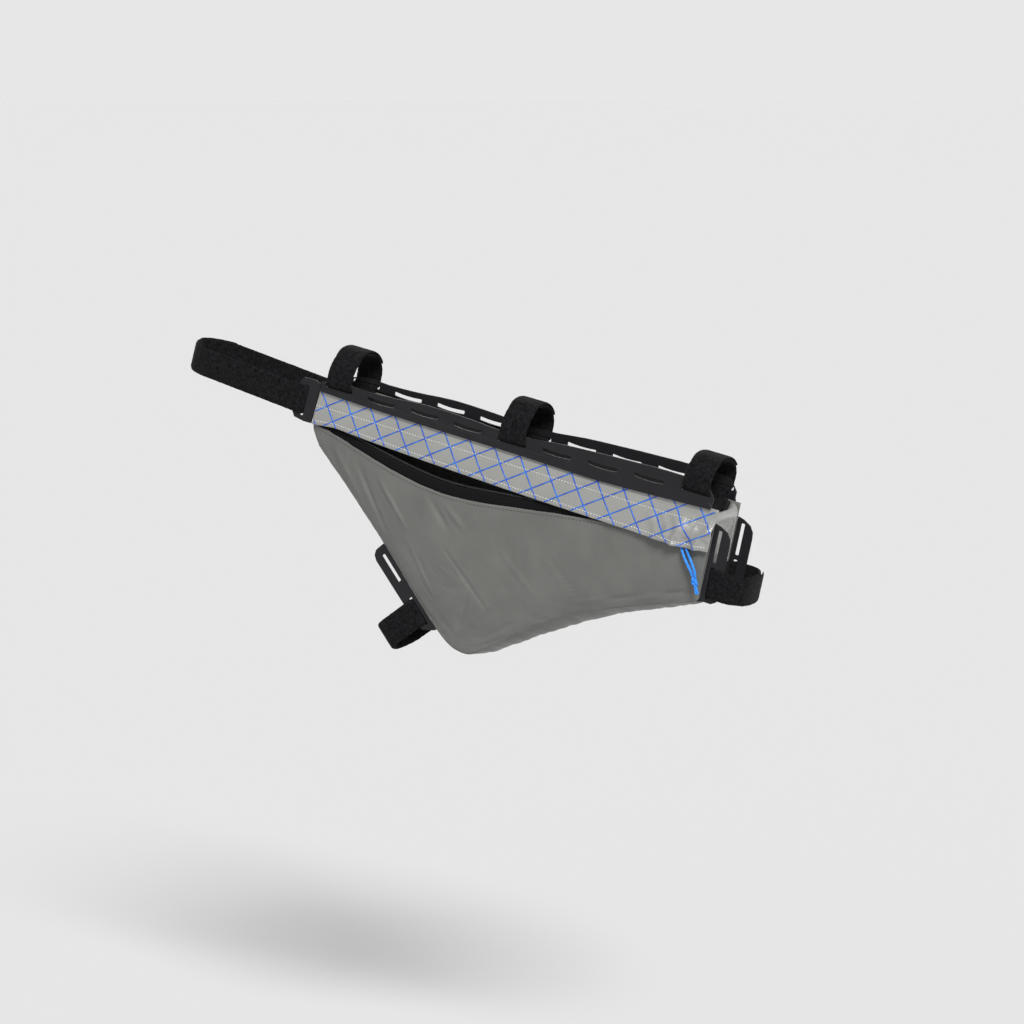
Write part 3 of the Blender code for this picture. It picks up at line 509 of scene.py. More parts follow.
def make_materials():
    """Every finish of the bag, by its slot or by the small part that wears it."""
    made = {}
    cloth, tree, shader = ripstop("bag_cloth", (0.094, 0.097, 0.089), (0.168, 0.172, 0.159), 0.58,
                                  0.0026, 0.0009, 0.9)
    shader.inputs["Specular IOR Level"].default_value = 0.35
    made["bag_cloth"] = cloth

    band, tree, shader = ripstop("band_cloth", (0.205, 0.207, 0.196), (0.310, 0.312, 0.297), 0.26,
                                 0.0022, 0.0009, 1.6)
    shader.inputs["Specular IOR Level"].default_value = 0.60
    shader.inputs["Coat Weight"].default_value = 0.55
    shader.inputs["Coat Roughness"].default_value = 0.17
    made["band_cloth"] = band

    sheet_stuff, tree, shader = new_material("smooth_sheet", (0.015, 0.015, 0.017), 0.50)
    vector = coordinates(tree, "Object")[2]
    grain = noise_node(tree, vector, 2600.0, 2.0)
    patches = noise_node(tree, vector, 45.0, 4.0)
    blend_colours(tree, patches, (0.011, 0.011, 0.0125), (0.018, 0.018, 0.020), shader)
    bump(tree, grain, 0.00008, 0.35, shader)
    shader.inputs["Specular IOR Level"].default_value = 0.18
    made["smooth_sheet"] = sheet_stuff

    pile, tree, shader = new_material("strap_pile", (0.010, 0.010, 0.011), 0.95)
    vector = coordinates(tree, "Object")[2]
    loops = noise_node(tree, vector, 950.0, 5.0)
    tufts = noise_node(tree, vector, 330.0, 3.0)
    height = math_node(tree, "ADD", loops, math_node(tree, "MULTIPLY", tufts, 0.8))
    ramp = blend_colours(tree, math_node(tree, "MULTIPLY", height, 0.6), (0.0015, 0.0015, 0.0018),
                         (0.015, 0.0145, 0.016), shader)
    ramp.color_ramp.elements[0].position = 0.38
    ramp.color_ramp.elements[1].position = 0.70
    bump(tree, height, 0.0007, 0.9, shader)
    shader.inputs["Specular IOR Level"].default_value = 0.05
    shader.inputs["Sheen Weight"].default_value = 0.03
    shader.inputs["Sheen Roughness"].default_value = 0.5
    made["strap_pile"] = pile

    tape, tree, shader = new_material("zip_tape", (0.011, 0.011, 0.012), 0.78)
    u, v, vector = coordinates(tree)
    ribs = wave(tree, v, 0.00115)
    picks = wave(tree, u, 0.00075)
    height = math_node(tree, "ADD", ribs, math_node(tree, "MULTIPLY", picks, 0.4))
    blend_colours(tree, math_node(tree, "MULTIPLY", height, 0.7), (0.003, 0.003, 0.0035),
                  (0.009, 0.009, 0.010), shader)
    bump(tree, height, 0.00018, 0.6, shader)
    shader.inputs["Specular IOR Level"].default_value = 0.10
    made["zip_tape"] = tape

    coil, tree, shader = new_material("zip_coil", (0.014, 0.014, 0.015), 0.34)
    vector = coordinates(tree, "Object")[2]
    wear = noise_node(tree, vector, 600.0, 3.0)
    blend_colours(tree, wear, (0.012, 0.012, 0.013), (0.045, 0.045, 0.048), shader)
    made["zip_coil"] = coil

    cord, tree, shader = new_material("cord", (0.006, 0.235, 0.820), 0.55)
    vector = coordinates(tree, "Object")[2]
    braid = add_node(tree, "ShaderNodeTexWave", Scale=240.0, Distortion=1.2)
    braid.bands_direction = "DIAGONAL"
    tree.links.new(vector, braid.inputs["Vector"])
    blend_colours(tree, braid.outputs["Fac"], (0.003, 0.150, 0.640), (0.012, 0.300, 0.930), shader)
    bump(tree, braid.outputs["Fac"], 0.00020, 0.6, shader)
    shader.inputs["Sheen Weight"].default_value = 0.2
    made["cord"] = cord

    thread, tree, shader = new_material("thread_blue", (0.002, 0.080, 0.480), 0.42)
    vector = coordinates(tree, "Object")[2]
    worn = noise_node(tree, vector, 130.0, 4.0)
    ramp = blend_colours(tree, worn, (0.002, 0.060, 0.430), (0.014, 0.190, 0.700), shader)
    ramp.color_ramp.elements[0].position = 0.42
    ramp.color_ramp.elements[1].position = 0.72
    shader.inputs["Coat Weight"].default_value = 0.30
    shader.inputs["Coat Roughness"].default_value = 0.25
    made["thread_blue"] = thread

    # The last of these is not thread but painted shade: a near-black sheet for the top panel, so that the
    # slits of the near strip read as dark as the shadow under the top tube.
    for name, dark, light in (("stitch_pale", (0.50, 0.50, 0.48), (0.80, 0.80, 0.77)),
                              ("stitch_grey", (0.030, 0.032, 0.028), (0.085, 0.088, 0.080)),
                              ("painted_shade_black", (0.002, 0.002, 0.002), (0.005, 0.005, 0.005))):
        stitch, tree, shader = new_material(name, light, 0.7)
        vector = coordinates(tree, "Object")[2]
        twist = noise_node(tree, vector, 900.0, 2.0)
        blend_colours(tree, twist, dark, light, shader)
        shader.inputs["Specular IOR Level"].default_value = 0.20
        made[name] = stitch
    return made


MATERIALS = make_materials()


def finish_piece(obj, finish, *replaced):
    """Gives a piece its material, hangs it from the root body and hides the CAD nodes it stands for."""
    obj.data.materials.clear()
    obj.data.materials.append(MATERIALS[finish])
    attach(obj, "root")
    if replaced:
        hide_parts(*replaced)
    return obj


def link_object(name, data):
    obj = bpy.data.objects.new(name, data)
    bpy.context.scene.collection.objects.link(obj)
    return obj


# Sheets of cloth


def mesh_from_grid(name, points, uvs, outward):
    """A sheet with one vertex for each grid point and its cloth coordinates as UVs."""
    rows, columns = points.shape[:2]
    faces = []
    for i in range(rows - 1):
        for j in range(columns - 1):
            corner = i * columns + j
            faces.append((corner, corner + columns, corner + columns + 1, corner + 1))
    mesh = bpy.data.meshes.new(name)
    mesh.from_pydata(points.reshape(-1, 3).tolist(), [], faces)
    layer = mesh.uv_layers.new(name="cloth")
    flat = uvs.reshape(-1, 2)
    order = np.zeros(len(mesh.loops), np.int32)
    mesh.loops.foreach_get("vertex_index", order)
    layer.data.foreach_set("uv", flat[order].astype(np.float32).ravel())
    middle = mesh.polygons[len(mesh.polygons) // 2]
    if middle.normal.dot(Vector(outward)) < 0:
        mesh.flip_normals()
    mesh.shade_smooth()
    return link_object(name, mesh)


def grid_normals(points, outward):
    """Unit normals of a grid of points, on the outward side."""
    first = np.gradient(points, axis=0)
    second = np.gradient(points, axis=1)
    normals = np.cross(first, second)
    length = np.linalg.norm(normals, axis=2, keepdims=True)
    normals = normals / np.maximum(length, 1e-12)
    middle = normals[points.shape[0] // 2, points.shape[1] // 2]
    if middle.dot(np.array(outward, float)) < 0:
        normals = -normals
    return normals


def settle(obj, pins, cut, frames, bending):
    """Lets a sheet buckle between its pinned points, cut a little larger than its place."""
    group = obj.vertex_groups.new(name="pins")
    for index, weight in enumerate(pins):
        if weight > 0:
            group.add([index], float(weight), "REPLACE")
    obj.shape_key_add(name="place")
    key = obj.shape_key_add(name="cut")
    key.data.foreach_set("co", cut.astype(np.float32).ravel())
    modifier = obj.modifiers.new("cloth", "CLOTH")
    settings = modifier.settings
    settings.vertex_group_mass = "pins"
    settings.rest_shape_key = key
    settings.quality = 6
    settings.mass = 0.05
    settings.air_damping = 4.0
    settings.tension_stiffness = 25.0
    settings.compression_stiffness = 25.0
    settings.shear_stiffness = 12.0
    settings.bending_model = "ANGULAR"
    settings.bending_stiffness = bending
    settings.effector_weights.gravity = 0.25
    modifier.collision_settings.use_collision = False
    modifier.collision_settings.use_self_collision = False
    modifier.point_cache.frame_start = 1
    modifier.point_cache.frame_end = frames
    for number in range(1, frames + 1):
        bpy.context.scene.frame_set(number)
    graph = bpy.context.evaluated_depsgraph_get()
    shown = obj.evaluated_get(graph)
    result = np.zeros(len(obj.data.vertices) * 3, np.float32)
    shown.data.vertices.foreach_get("co", result)
    obj.modifiers.remove(modifier)
    obj.shape_key_clear()
    obj.vertex_groups.clear()
    bpy.context.scene.frame_set(1)
    return result.reshape(-1, 3).astype(float)


def loose_inside(low, high):
    """How free a side's cloth is, 0 to 1: pinned at its edges, free from low to high on."""
    def loose(u, v):
        return smooth_step(0.0, 0.05, u) * smooth_step(0.0, 0.05, 1 - u) * smooth_step(
            low, high, v) * smooth_step(0.0, 0.03, 1 - v)

    return loose


def buckled(name, points, uvs, outward, buckle, loose):
    """The grid after its cloth has buckled; loose(i, j) from 0 to 1 says how free a point is."""
    rows, columns = points.shape[:2]
    obj = mesh_from_grid(name + "_trial", points, uvs, outward)
    free = np.array([[loose(i / (rows - 1), j / (columns - 1)) for j in range(columns)]
                     for i in range(rows)])
    pins = np.where(free <= 0.0, 1.0, 0.0)
    squeeze = np.array(place(0.65, -0.76, 0), float)
    squeeze = squeeze / np.linalg.norm(squeeze)
    across = points.reshape(-1, 3) @ squeeze
    weight = free.ravel()
    cut = points.reshape(-1, 3) + np.outer((across - across.mean()) * buckle.excess, squeeze)
    start = points.reshape(-1, 3).copy()
    start += grid_normals(points, outward).reshape(-1, 3) * (
        np.array([ripple(p[0], p[2], 0.014, 3.0) for p in start])[:, None] * 0.0004 * weight[:, None])
    obj.data.vertices.foreach_set("co", start.astype(np.float32).ravel())
    moved = settle(obj, pins.ravel(), cut, buckle.frames, buckle.bending)
    mesh = obj.data
    bpy.data.objects.remove(obj)
    bpy.data.meshes.remove(mesh)
    shift = moved - points.reshape(-1, 3)
    size = np.linalg.norm(shift, axis=1, keepdims=True)
    limit = np.tanh(size / buckle.cap) * buckle.cap
    shift = shift * (limit / np.maximum(size, 1e-12))
    edge = np.minimum(1.0, weight * 3.0)[:, None]
    return (points.reshape(-1, 3) + shift * edge).reshape(points.shape)


def refine(points, times):
    """A denser grid through the same surface: each step halves its spacing, smoothly."""
    for _ in range(times):
        for axis in (0, 1):
            moved = np.moveaxis(points, axis, 0)
            count = moved.shape[0]
            padded = np.concatenate([2 * moved[:1] - moved[1:2], moved, 2 * moved[-1:] - moved[-2:-1]])
            middle = (-padded[:-3] + 9 * padded[1:-2] + 9 * padded[2:-1] - padded[3:]) / 16
            result = np.zeros((2 * count - 1, *moved.shape[1:]))
            result[0::2] = moved
            result[1::2] = middle
            points = np.moveaxis(result, 0, axis)
    return points


def cloth_piece(name, points, uvs, outward, finish, thickness, *replaced):
    """A finished sheet of cloth with its wall, standing for CAD nodes."""
    obj = mesh_from_grid(name, points, uvs, outward)
    wall = obj.modifiers.new("wall", "SOLIDIFY")
    wall.thickness = thickness
    wall.offset = -1.0
    wall.use_even_offset = False
    return finish_piece(obj, finish, *replaced)


def near_panel():
    """The large near side, with its folds and a row of stitches along the lip."""
    count = 121
    steps = 64
    points = np.zeros((count, steps + 1, 3))
    uvs = np.zeros((count, steps + 1, 2))
    for i, rib in enumerate(smooth_rows(NEAR_RIBS, count)):
        foot = perimeter(rib.foot)
        for j in range(steps + 1):
            t = j / steps
            along, drop, depth = near_point(rib, foot, t)
            inner = math.sin(math.pi * t) ** 0.5
            depth += CREASE_LIFT * fold_height(CREASES, along, drop) * inner
            points[i, j] = at(along, drop, -depth)
            uvs[i, j] = (along * LENGTH, drop * DROP)

    points = buckled("near_panel", points, uvs, (0, -1, 0), NEAR_BUCKLE, loose_inside(0.0, 0.06))
    points = refine(points, 1)
    uvs = refine(uvs, 1)
    normals = grid_normals(points, (0, -1, 0))
    rows, columns = points.shape[:2]
    lift = np.zeros((rows, columns))
    for i in range(rows):
        for j in range(columns):
            u, v = uvs[i, j]
            from_lip = j / (columns - 1)
            foot_near = math.exp(-((1 - from_lip) / 0.05) ** 2)
            lip_near = math.exp(-(from_lip / 0.05) ** 2)
            pucker = ripple(u + v, u - v, 0.0055, 1.0) * 0.00045 * foot_near
            hem = ripple(u, v, 0.0060, 2.0) * 0.00016 * lip_near
            soft = ripple(u * 1.0 - v * 0.8, (u + v) * 0.35, 0.011, 5.0) * 0.00022
            lift[i, j] = pucker + hem + soft * (1 - foot_near)
    edge = np.ones(columns)
    edge[0] = edge[-1] = 0.0
    points = points + normals * (lift * edge)[:, :, None]
    cloth_piece("near_panel_cloth", points, uvs, (0, -1, 0), "bag_cloth", CLOTH, "near_panel")
    stitch_row("near_panel_stitches", points, LIP_STITCH, "stitch_grey")


def seam_line(points, outward, distance, from_foot=False):
    """Points along a grid's first or last column, moved in by a distance, and their normals."""
    normals = grid_normals(points, outward)
    if from_foot:
        points = points[:, ::-1]
        normals = normals[:, ::-1]
    line = []
    facing = []
    for row, row_normals in zip(points, normals):
        step = np.linalg.norm(np.diff(row, axis=0), axis=1)
        reach = np.concatenate([[0.0], np.cumsum(step)])
        position = np.interp(distance, reach, np.arange(len(reach)))
        index = min(int(position), len(row) - 2)
        t = position - index
        line.append(row[index] * (1 - t) + row[index + 1] * t)
        facing.append(row_normals[index])
    return np.array(line), np.array(facing)


def resampled(line, facing, spacing):
    """The same line with even spacing."""
    step = np.linalg.norm(np.diff(line, axis=0), axis=1)
    reach = np.concatenate([[0.0], np.cumsum(step)])
    count = max(int(reach[-1] / spacing), 2)
    wanted = np.linspace(0.0, reach[-1], count)
    points = np.stack([np.interp(wanted, reach, line[:, k]) for k in range(3)], axis=1)
    normals = np.stack([np.interp(wanted, reach, facing[:, k]) for k in range(3)], axis=1)
    normals /= np.linalg.norm(normals, axis=1, keepdims=True)
    return points, normals


def add_ring(vertices, centre, first, second, half_first, half_second, sides):
    """Adds a ring of points round a centre; returns their indices."""
    start = len(vertices)
    for k in range(sides):
        turn = 2 * math.pi * k / sides
        vertices.append(centre + first * (math.cos(turn) * half_first)
                        + second * (math.sin(turn) * half_second))
    return list(range(start, start + sides))


def join_rings(faces, rings):
    for ring, following in zip(rings, rings[1:]):
        sides = len(ring)
        for k in range(sides):
            after = (k + 1) % sides
            faces.append((ring[k], ring[after], following[after], following[k]))
    faces.append(tuple(rings[0][::-1]))
    faces.append(tuple(rings[-1]))


def mesh_piece(name, vertices, faces, finish, *replaced):
    mesh = bpy.data.meshes.new(name)
    mesh.from_pydata([tuple(v) for v in vertices], [], faces)
    body = bmesh.new()
    body.from_mesh(mesh)
    bmesh.ops.recalc_face_normals(body, faces=body.faces[:])
    body.to_mesh(mesh)
    body.free()
    mesh.shade_smooth()
    return finish_piece(link_object(name, mesh), finish, *replaced)


def stitch_row(name, grid, stitch, finish, from_foot=False):
    """A row of sewn stitches: short rounded threads that dip into the cloth at both ends."""
    line, facing = seam_line(grid, (0, -1, 0), stitch.inset, from_foot)
    radius = stitch.radius
    pitch = stitch.length + stitch.gap
    points, normals = resampled(line, facing, pitch / 6)
    vertices = []
    faces = []
    inside = 6 * stitch.length / pitch
    for start in range(0, len(points) - 6, 6):
        rings = []
        for t in (0.0, 0.22, 0.5, 0.78, 1.0):
            position = start + t * inside
            index = int(position)
            share = position - index
            centre = Vector(points[index] * (1 - share) + points[index + 1] * share)
            normal = Vector(normals[index])
            run = Vector(points[index + 1] - points[index]).normalized()
            across = run.cross(normal).normalized()
            rise = math.sin(math.pi * t)
            size = radius * (0.45 + 0.55 * rise)
            centre = centre + normal * (radius * (0.9 * rise - 0.3))
            rings.append(add_ring(vertices, centre, across, normal, size, size * 0.8, 6))
        join_rings(faces, rings)
    return mesh_piece(name, vertices, faces, finish)


def tube_piece(name, line, radius, sides, finish, *replaced, flat=1.0, wobble=0.0):
    """A round cord of mesh along points, its frame carried along without twist."""
    line = [Vector(p) for p in line]
    vertices = []
    rings = []
    reference = Vector((0, 1, 0))
    for index, centre in enumerate(line):
        run = (line[min(index + 1, len(line) - 1)] - line[max(index - 1, 0)]).normalized()
        first = reference - run * reference.dot(run)
        first.normalize()
        second = run.cross(first)
        reference = first
        size = radius * (1 + wobble * ripple(index * 0.002, 0.0, 0.005, radius * 1e4))
        rings.append(add_ring(vertices, centre, first, second, size, size * flat, sides))
    faces = []
    join_rings(faces, rings)
    return mesh_piece(name, vertices, faces, finish, *replaced)


def band_grid(count, steps):
    """The near band as a grid, even along the tube, with its cloth coordinates."""
    points = np.zeros((count, steps + 1, 3))
    uvs = np.zeros((count, steps + 1, 2))
    first = BAND_ROWS[0].along
    last = BAND_ROWS[-1].along
    for i in range(count):
        along = first + (last - first) * i / (count - 1)
        row = by_along(FINE_BAND, along)
        foot = row.drop * DROP
        for j in range(steps + 1):
            drop = BAND_TOP + (foot - BAND_TOP) * j / steps
            crumple = smooth_step(CRUMPLE_FROM, 0.44, along) * smooth_step(0.0, 0.015, drop - FLAT_TO)
            sharp = abs(ripple(along * LENGTH, drop * 0.8, 0.013, 2.0))
            fine = abs(ripple(along * LENGTH * 0.8, drop, 0.007, 4.0))
            rough = (0.5 - sharp) * 0.0080 + (0.4 - fine) * 0.0032
            hem = math.exp(-((foot - drop) / 0.0028) ** 2) * ripple(along * LENGTH, 0.0, 0.009, 8.0)
            quilt = ripple(along * LENGTH + drop * 0.5, drop, 0.016, 9.0) * 0.00028
            middle = math.exp(-((drop - BAND_TOP - 0.0145) / 0.0016) ** 2) * 0.00030
            foot_groove = math.exp(-((foot - drop - 0.0034) / 0.0012) ** 2) * 0.00022
            shown = smooth_step(0.0, 0.004, drop - FLAT_TO)
            lift = (rough * crumple + hem * 0.00030 + quilt - middle - foot_groove) * shown
            points[i, j] = place(along * LENGTH, drop, -band_side(row, drop) - lift)
            uvs[i, j] = (along * LENGTH, drop)
    return points, uvs


def near_band():
    """The silver band over the zip, with its grid of blue threads and two rows of stitches."""
    points, uvs = band_grid(280, 26)
    cloth_piece("near_band_cloth", points, uvs, (0, -1, 0), "band_cloth", CLOTH, "near_band")
    stitch_row("band_foot_stitches", points, BAND_FOOT_STITCH, "stitch_pale", from_foot=True)
    stitch_row("band_middle_stitches", points, BAND_MIDDLE_STITCH, "stitch_pale")
    band_threads(points, uvs)


def band_threads(points, uvs):
    """Raised blue threads, laid over the band in two slanting sets."""
    normals = grid_normals(points, (0, -1, 0))
    rows, columns = points.shape[:2]
    first = uvs[0, 0, 0]
    last = uvs[-1, 0, 0]
    vertices = []
    faces = []
    for slant, start, pitch in THREADS:
        for number in range(-12, 13):
            offset = start + number * pitch
            strand = []
            for step in range(80):
                drop = FLAT_TO - 0.004 + step * 0.00045
                along = offset + slant * (drop - FLAT_TO)
                along += 0.0004 * ripple(drop, offset, 0.02, 11.0)
                position = (along - first) / (last - first) * (rows - 1)
                if not 0.6 <= position < rows - 1.6:
                    continue
                i = int(position)
                foot = uvs[i, -1, 1]
                deep = (drop - BAND_TOP) / (foot - BAND_TOP) * (columns - 1)
                if deep >= columns - 1.05:
                    continue
                j = int(deep)
                s = position - i
                t = deep - j
                spot = ((points[i, j] * (1 - s) + points[i + 1, j] * s) * (1 - t)
                        + (points[i, j + 1] * (1 - s) + points[i + 1, j + 1] * s) * t)
                strand.append((Vector(spot), Vector(normals[i, j])))
            if len(strand) < 4:
                continue
            rings = []
            for index, (spot, normal) in enumerate(strand):
                before = strand[max(index - 1, 0)][0]
                after = strand[min(index + 1, len(strand) - 1)][0]
                across = (after - before).cross(normal).normalized()
                rings.append(add_ring(vertices, spot + normal * 0.00008, across, normal,
                                      THREAD_HALF, THREAD_HALF * 0.42, 6))
            join_rings(faces, rings)
    mesh_piece("band_threads", vertices, faces, "thread_blue")


def far_panel():
    """The plain far side."""
    count = 91
    steps = 48
    flat_share = FLAT_TO / DROP
    top_share = BAND_TOP / DROP
    top_depth = BAG_SIDE / HALF_DEPTH
    points = np.zeros((count, steps + 1, 3))
    uvs = np.zeros((count, steps + 1, 2))
    for i, rib in enumerate(smooth_rows(NEAR_RIBS, count)):
        foot = perimeter(rib.foot)
        for j in range(steps + 1):
            if j == 0:
                along, drop, depth = rib.along, top_share, top_depth
            else:
                t = (j - 1) / (steps - 1)
                along = rib.along + (foot.along - rib.along) * t
                drop = flat_share + (foot.drop - flat_share) * t
                depth = top_depth + (rib.swell * 1.6 + 0.01) * math.sin(math.pi * t) ** 0.8
            points[i, j] = at(along, drop, depth)
            uvs[i, j] = (along * LENGTH, drop * DROP)

    points = buckled("far_panel", points, uvs, (0, 1, 0), FAR_BUCKLE, loose_inside(0.08, 0.16))
    points = refine(points, 1)
    uvs = refine(uvs, 1)
    normals = grid_normals(points, (0, 1, 0))
    rows, columns = points.shape[:2]
    lift = np.zeros((rows, columns))
    for i in range(rows):
        for j in range(4, columns - 1):
            u, v = uvs[i, j]
            foot_near = math.exp(-((1 - j / (columns - 1)) / 0.05) ** 2)
            lift[i, j] = (ripple(u + v, u - v, 0.0055, 1.0) * 0.00045 * foot_near
                          + ripple(u - v * 0.8, (u + v) * 0.35, 0.012, 5.0) * 0.00025)
    points = points + normals * lift[:, :, None]
    cloth_piece("far_panel_cloth", points, uvs, (0, 1, 0), "bag_cloth", CLOTH, "far_panel")


def crosswise(edge_rows, count, steps, half, outward, wrinkle):
    """A strip between the two sides, bulging outwards in the middle, with small wrinkles."""
    points = np.zeros((count, steps + 1, 3))
    uvs = np.zeros((count, steps + 1, 2))
    rows = smooth_rows(edge_rows, count)
    travelled = 0.0
    for index, row in enumerate(rows):
        before = rows[max(index - 1, 0)]
        after = rows[min(index + 1, count - 1)]
        run = place((after.along - before.along) * LENGTH, (after.drop - before.drop) * DROP, 0)
        square = run.cross(Vector((0, 1, 0))).normalized()
        if square.dot(Vector(outward)) < 0:
            square = -square
        for step in range(steps + 1):
            across = -1 + 2 * step / steps
            bulge = row.bulge * HALF_DEPTH * (1 - across**2)
            inner = min(1.0, (1 - abs(across)) * 6)
            crease = ripple(travelled * 1.6, across * half * 0.45, 0.012, 6.0)
            bulge += wrinkle * crease * inner
            spot = at(row.along, row.drop, 0) + Vector((0, across * half, 0)) + square * bulge
            points[index, step] = spot
            uvs[index, step] = (travelled, across * half)
        travelled += run.length / 2
    return points, uvs


def gussets():
    """The strips along the down tube, the bottom and the rear."""
    points, uvs = crosswise(DOWN_EDGE, 120, 28, GUSSET_HALF, (-1, 0, -1), 0.0004)
    cloth_piece("down_tube_gusset_cloth", points, uvs, (-1, 0, -1), "bag_cloth", CLOTH,
                "down_tube_gusset")
    start = BOTTOM_EDGE[0]
    opening = Edge(start.along + SEAM_GAP / LENGTH, start.drop + SEAM_GAP / DROP, start.bulge)
    bottom = [opening] + BOTTOM_EDGE[1:-1]
    points, uvs = crosswise(bottom, 180, 32, GUSSET_HALF, (0.3, 0, -1), 0.0012)
    cloth_piece("bottom_gusset_cloth", points, uvs, (0.3, 0, -1), "bag_cloth", CLOTH, "bottom_gusset")
    end = BOTTOM_EDGE[-1]
    turn = REAR_TURN / LENGTH
    rear = [
        Edge(end.along, end.drop, 0.01),
        Edge(end.along, 0.330, 0.01),
        Edge(end.along, 0.210, 0.01),
        Edge(end.along, 0.135, 0.01),
        Edge(end.along - 0.06 * turn, 0.106, 0.01),
        Edge(end.along - 0.28 * turn, 0.086, -0.08),
        Edge(end.along - 0.67 * turn, 0.0775, -0.22),
        Edge(end.along - turn, 0.0773, -0.33),
    ]
    points, uvs = crosswise(rear, 90, 30, GUSSET_HALF - CLOTH / 2, (1, 0, 0.3), 0.0011)
    cloth_piece("rear_gusset_cloth", points, uvs, (1, 0, 0.3), "band_cloth", CLOTH, "rear_gusset")


def seams():
    """Rolled seams where the sides meet the strips between them."""
    line = [(row.along, row.drop) for row in PERIMETER[1:-1]]
    for name, side in (("near_seam", -1), ("far_seam", 1)):
        points = [at(along, drop, 0) + Vector((0, side * (BAG_SIDE - 0.0009), 0))
                  for along, drop in line]
        points = [Vector(p) for p in resampled(np.array(points), np.ones((len(points), 3)), 0.0022)[0]]
        tube_piece(name, points, 0.00085, 8, "bag_cloth", wobble=0.35)


def cradle_drop(across):
    """Drop of the cloth under the top tube, across from -1 to 1 between its edges."""
    return BAND_TOP + GAP + CRADLE * (1 - abs(across) ** 3.2)


def front_gusset():
    first = DOWN_EDGE[0]
    foot = first.drop * DROP - SEAM_GAP
    rows = 24
    steps = 28
    points = np.zeros((rows + 1, steps + 1, 3))
    uvs = np.zeros((rows + 1, steps + 1, 2))
    for row in range(rows + 1):
        for step in range(steps + 1):
            across = -1 + 2 * step / steps
            top = cradle_drop(across)
            drop = top + (foot - top) * row / rows
            crease = 0.0005 * ripple(across * 0.02, drop, 0.009, 3.0) * (1 - across**2)
            points[row, step] = place(first.along * LENGTH - crease, drop, across * GUSSET_HALF)
            uvs[row, step] = (across * GUSSET_HALF, drop)
    cloth_piece("front_gusset_cloth", points, uvs, (-1, 0, 0), "bag_cloth", CLOTH, "front_gusset")


def top_panel():
    first = DOWN_EDGE[0].along + (CLOTH + GAP) / LENGTH
    last = BOTTOM_EDGE[-1].along - (REAR_TURN + 4 * GAP) / LENGTH
    rows = 150
    steps = 24
    points = np.zeros((rows + 1, steps + 1, 3))
    uvs = np.zeros((rows + 1, steps + 1, 2))
    for row in range(rows + 1):
        along = first + (last - first) * row / rows
        for step in range(steps + 1):
            across = math.sin(math.pi * (step / steps - 0.5))
            side = across * (GUSSET_HALF - CLOTH)
            crease = 0.0006 * ripple(along * LENGTH, side, 0.014, 5.0) * (1 - across**2)
            points[row, step] = place(along * LENGTH, cradle_drop(across) + crease, side)
            uvs[row, step] = (along * LENGTH, side)
    # The top panel wears near-black painted shade, standing in for the shadow under the top tube that
    # shows through the near strip's slits.
    cloth_piece("top_panel_cloth", points, uvs, (0, 0, 1), "painted_shade_black", CLOTH, "top_panel")


# Straps, strips and flaps


def rounded_copy(name, node, bevel, finish):
    """The CAD node's own shape with softened edges."""
    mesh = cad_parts[node].data.copy()
    body = bmesh.new()
    body.from_mesh(mesh)
    bmesh.ops.remove_doubles(body, verts=body.verts[:], dist=1e-6)
    bmesh.ops.dissolve_limit(body, angle_limit=math.radians(0.6), verts=body.verts[:],
                             edges=body.edges[:])
    body.to_mesh(mesh)
    body.free()
    obj = link_object(name, mesh)
    rounding = obj.modifiers.new("rounding", "BEVEL")
    rounding.width = bevel
    rounding.segments = 2
    rounding.limit_method = "ANGLE"
    rounding.angle_limit = math.radians(40)
    mesh.shade_smooth()
    mesh.set_sharp_from_angle(angle=math.radians(40))
    even = obj.modifiers.new("even", "WEIGHTED_NORMAL")
    even.keep_sharp = False
    return finish_piece(obj, finish, node)


def strips_and_flaps():
    for node in ("near_mount_strip", "far_mount_strip", "near_front_flap", "far_front_flap",
                 "near_down_tube_flap", "far_down_tube_flap", "near_rear_flap", "far_rear_flap"):
        rounded_copy(node + "_sheet", node, 0.0003, "smooth_sheet")


def strap_path(slit, shoulder, crown, crown_power, seat, seat_power, tail_from, tail_to):
    """Centre line of a strap round a tube, as (side, out) pairs; out points away from the bag."""

    def over(angle, lift):
        turn = math.radians(angle)
        power = 2.0 / crown_power
        side = -math.copysign(abs(math.cos(turn)) ** power, math.cos(turn)) * (STRAP_SIDE + lift)
        out = shoulder + abs(math.sin(turn)) ** power * (crown - shoulder + lift)
        return side, out

    def through(sign):
        points = [(STRAP_SIDE - row.inward * STRAP_THICKNESS, slit + row.out * STRAP_THICKNESS)
                  for row in CROSSING]
        side_span = STRAP_SIDE - CROSSING_END.inward * STRAP_THICKNESS
        turn_from = slit + CROSSING_END.out * STRAP_THICKNESS
        steps = 7
        for step in range(steps):
            turn = math.radians(90 * step / steps)
            power = 2.0 / seat_power
            points.append((side_span * math.cos(turn) ** power,
                           turn_from - (turn_from - seat) * math.sin(turn) ** power))
        return [(sign * side, out) for side, out in points]

    start = [over(angle, 0.0) for angle in range(tail_from, 180, 4)]
    down_far = through(1) + [(0.0, seat)] + through(-1)[::-1]
    end = []
    for angle in list(range(0, tail_to, 4)) + [tail_to]:
        ramp = min(max((angle - tail_from + 34) / 26, 0.0), 1.0)
        end.append(over(angle, STRAP_LAYER * ramp * ramp * (3 - 2 * ramp)))
    return start + [over(180, 0.0)] + down_far + end


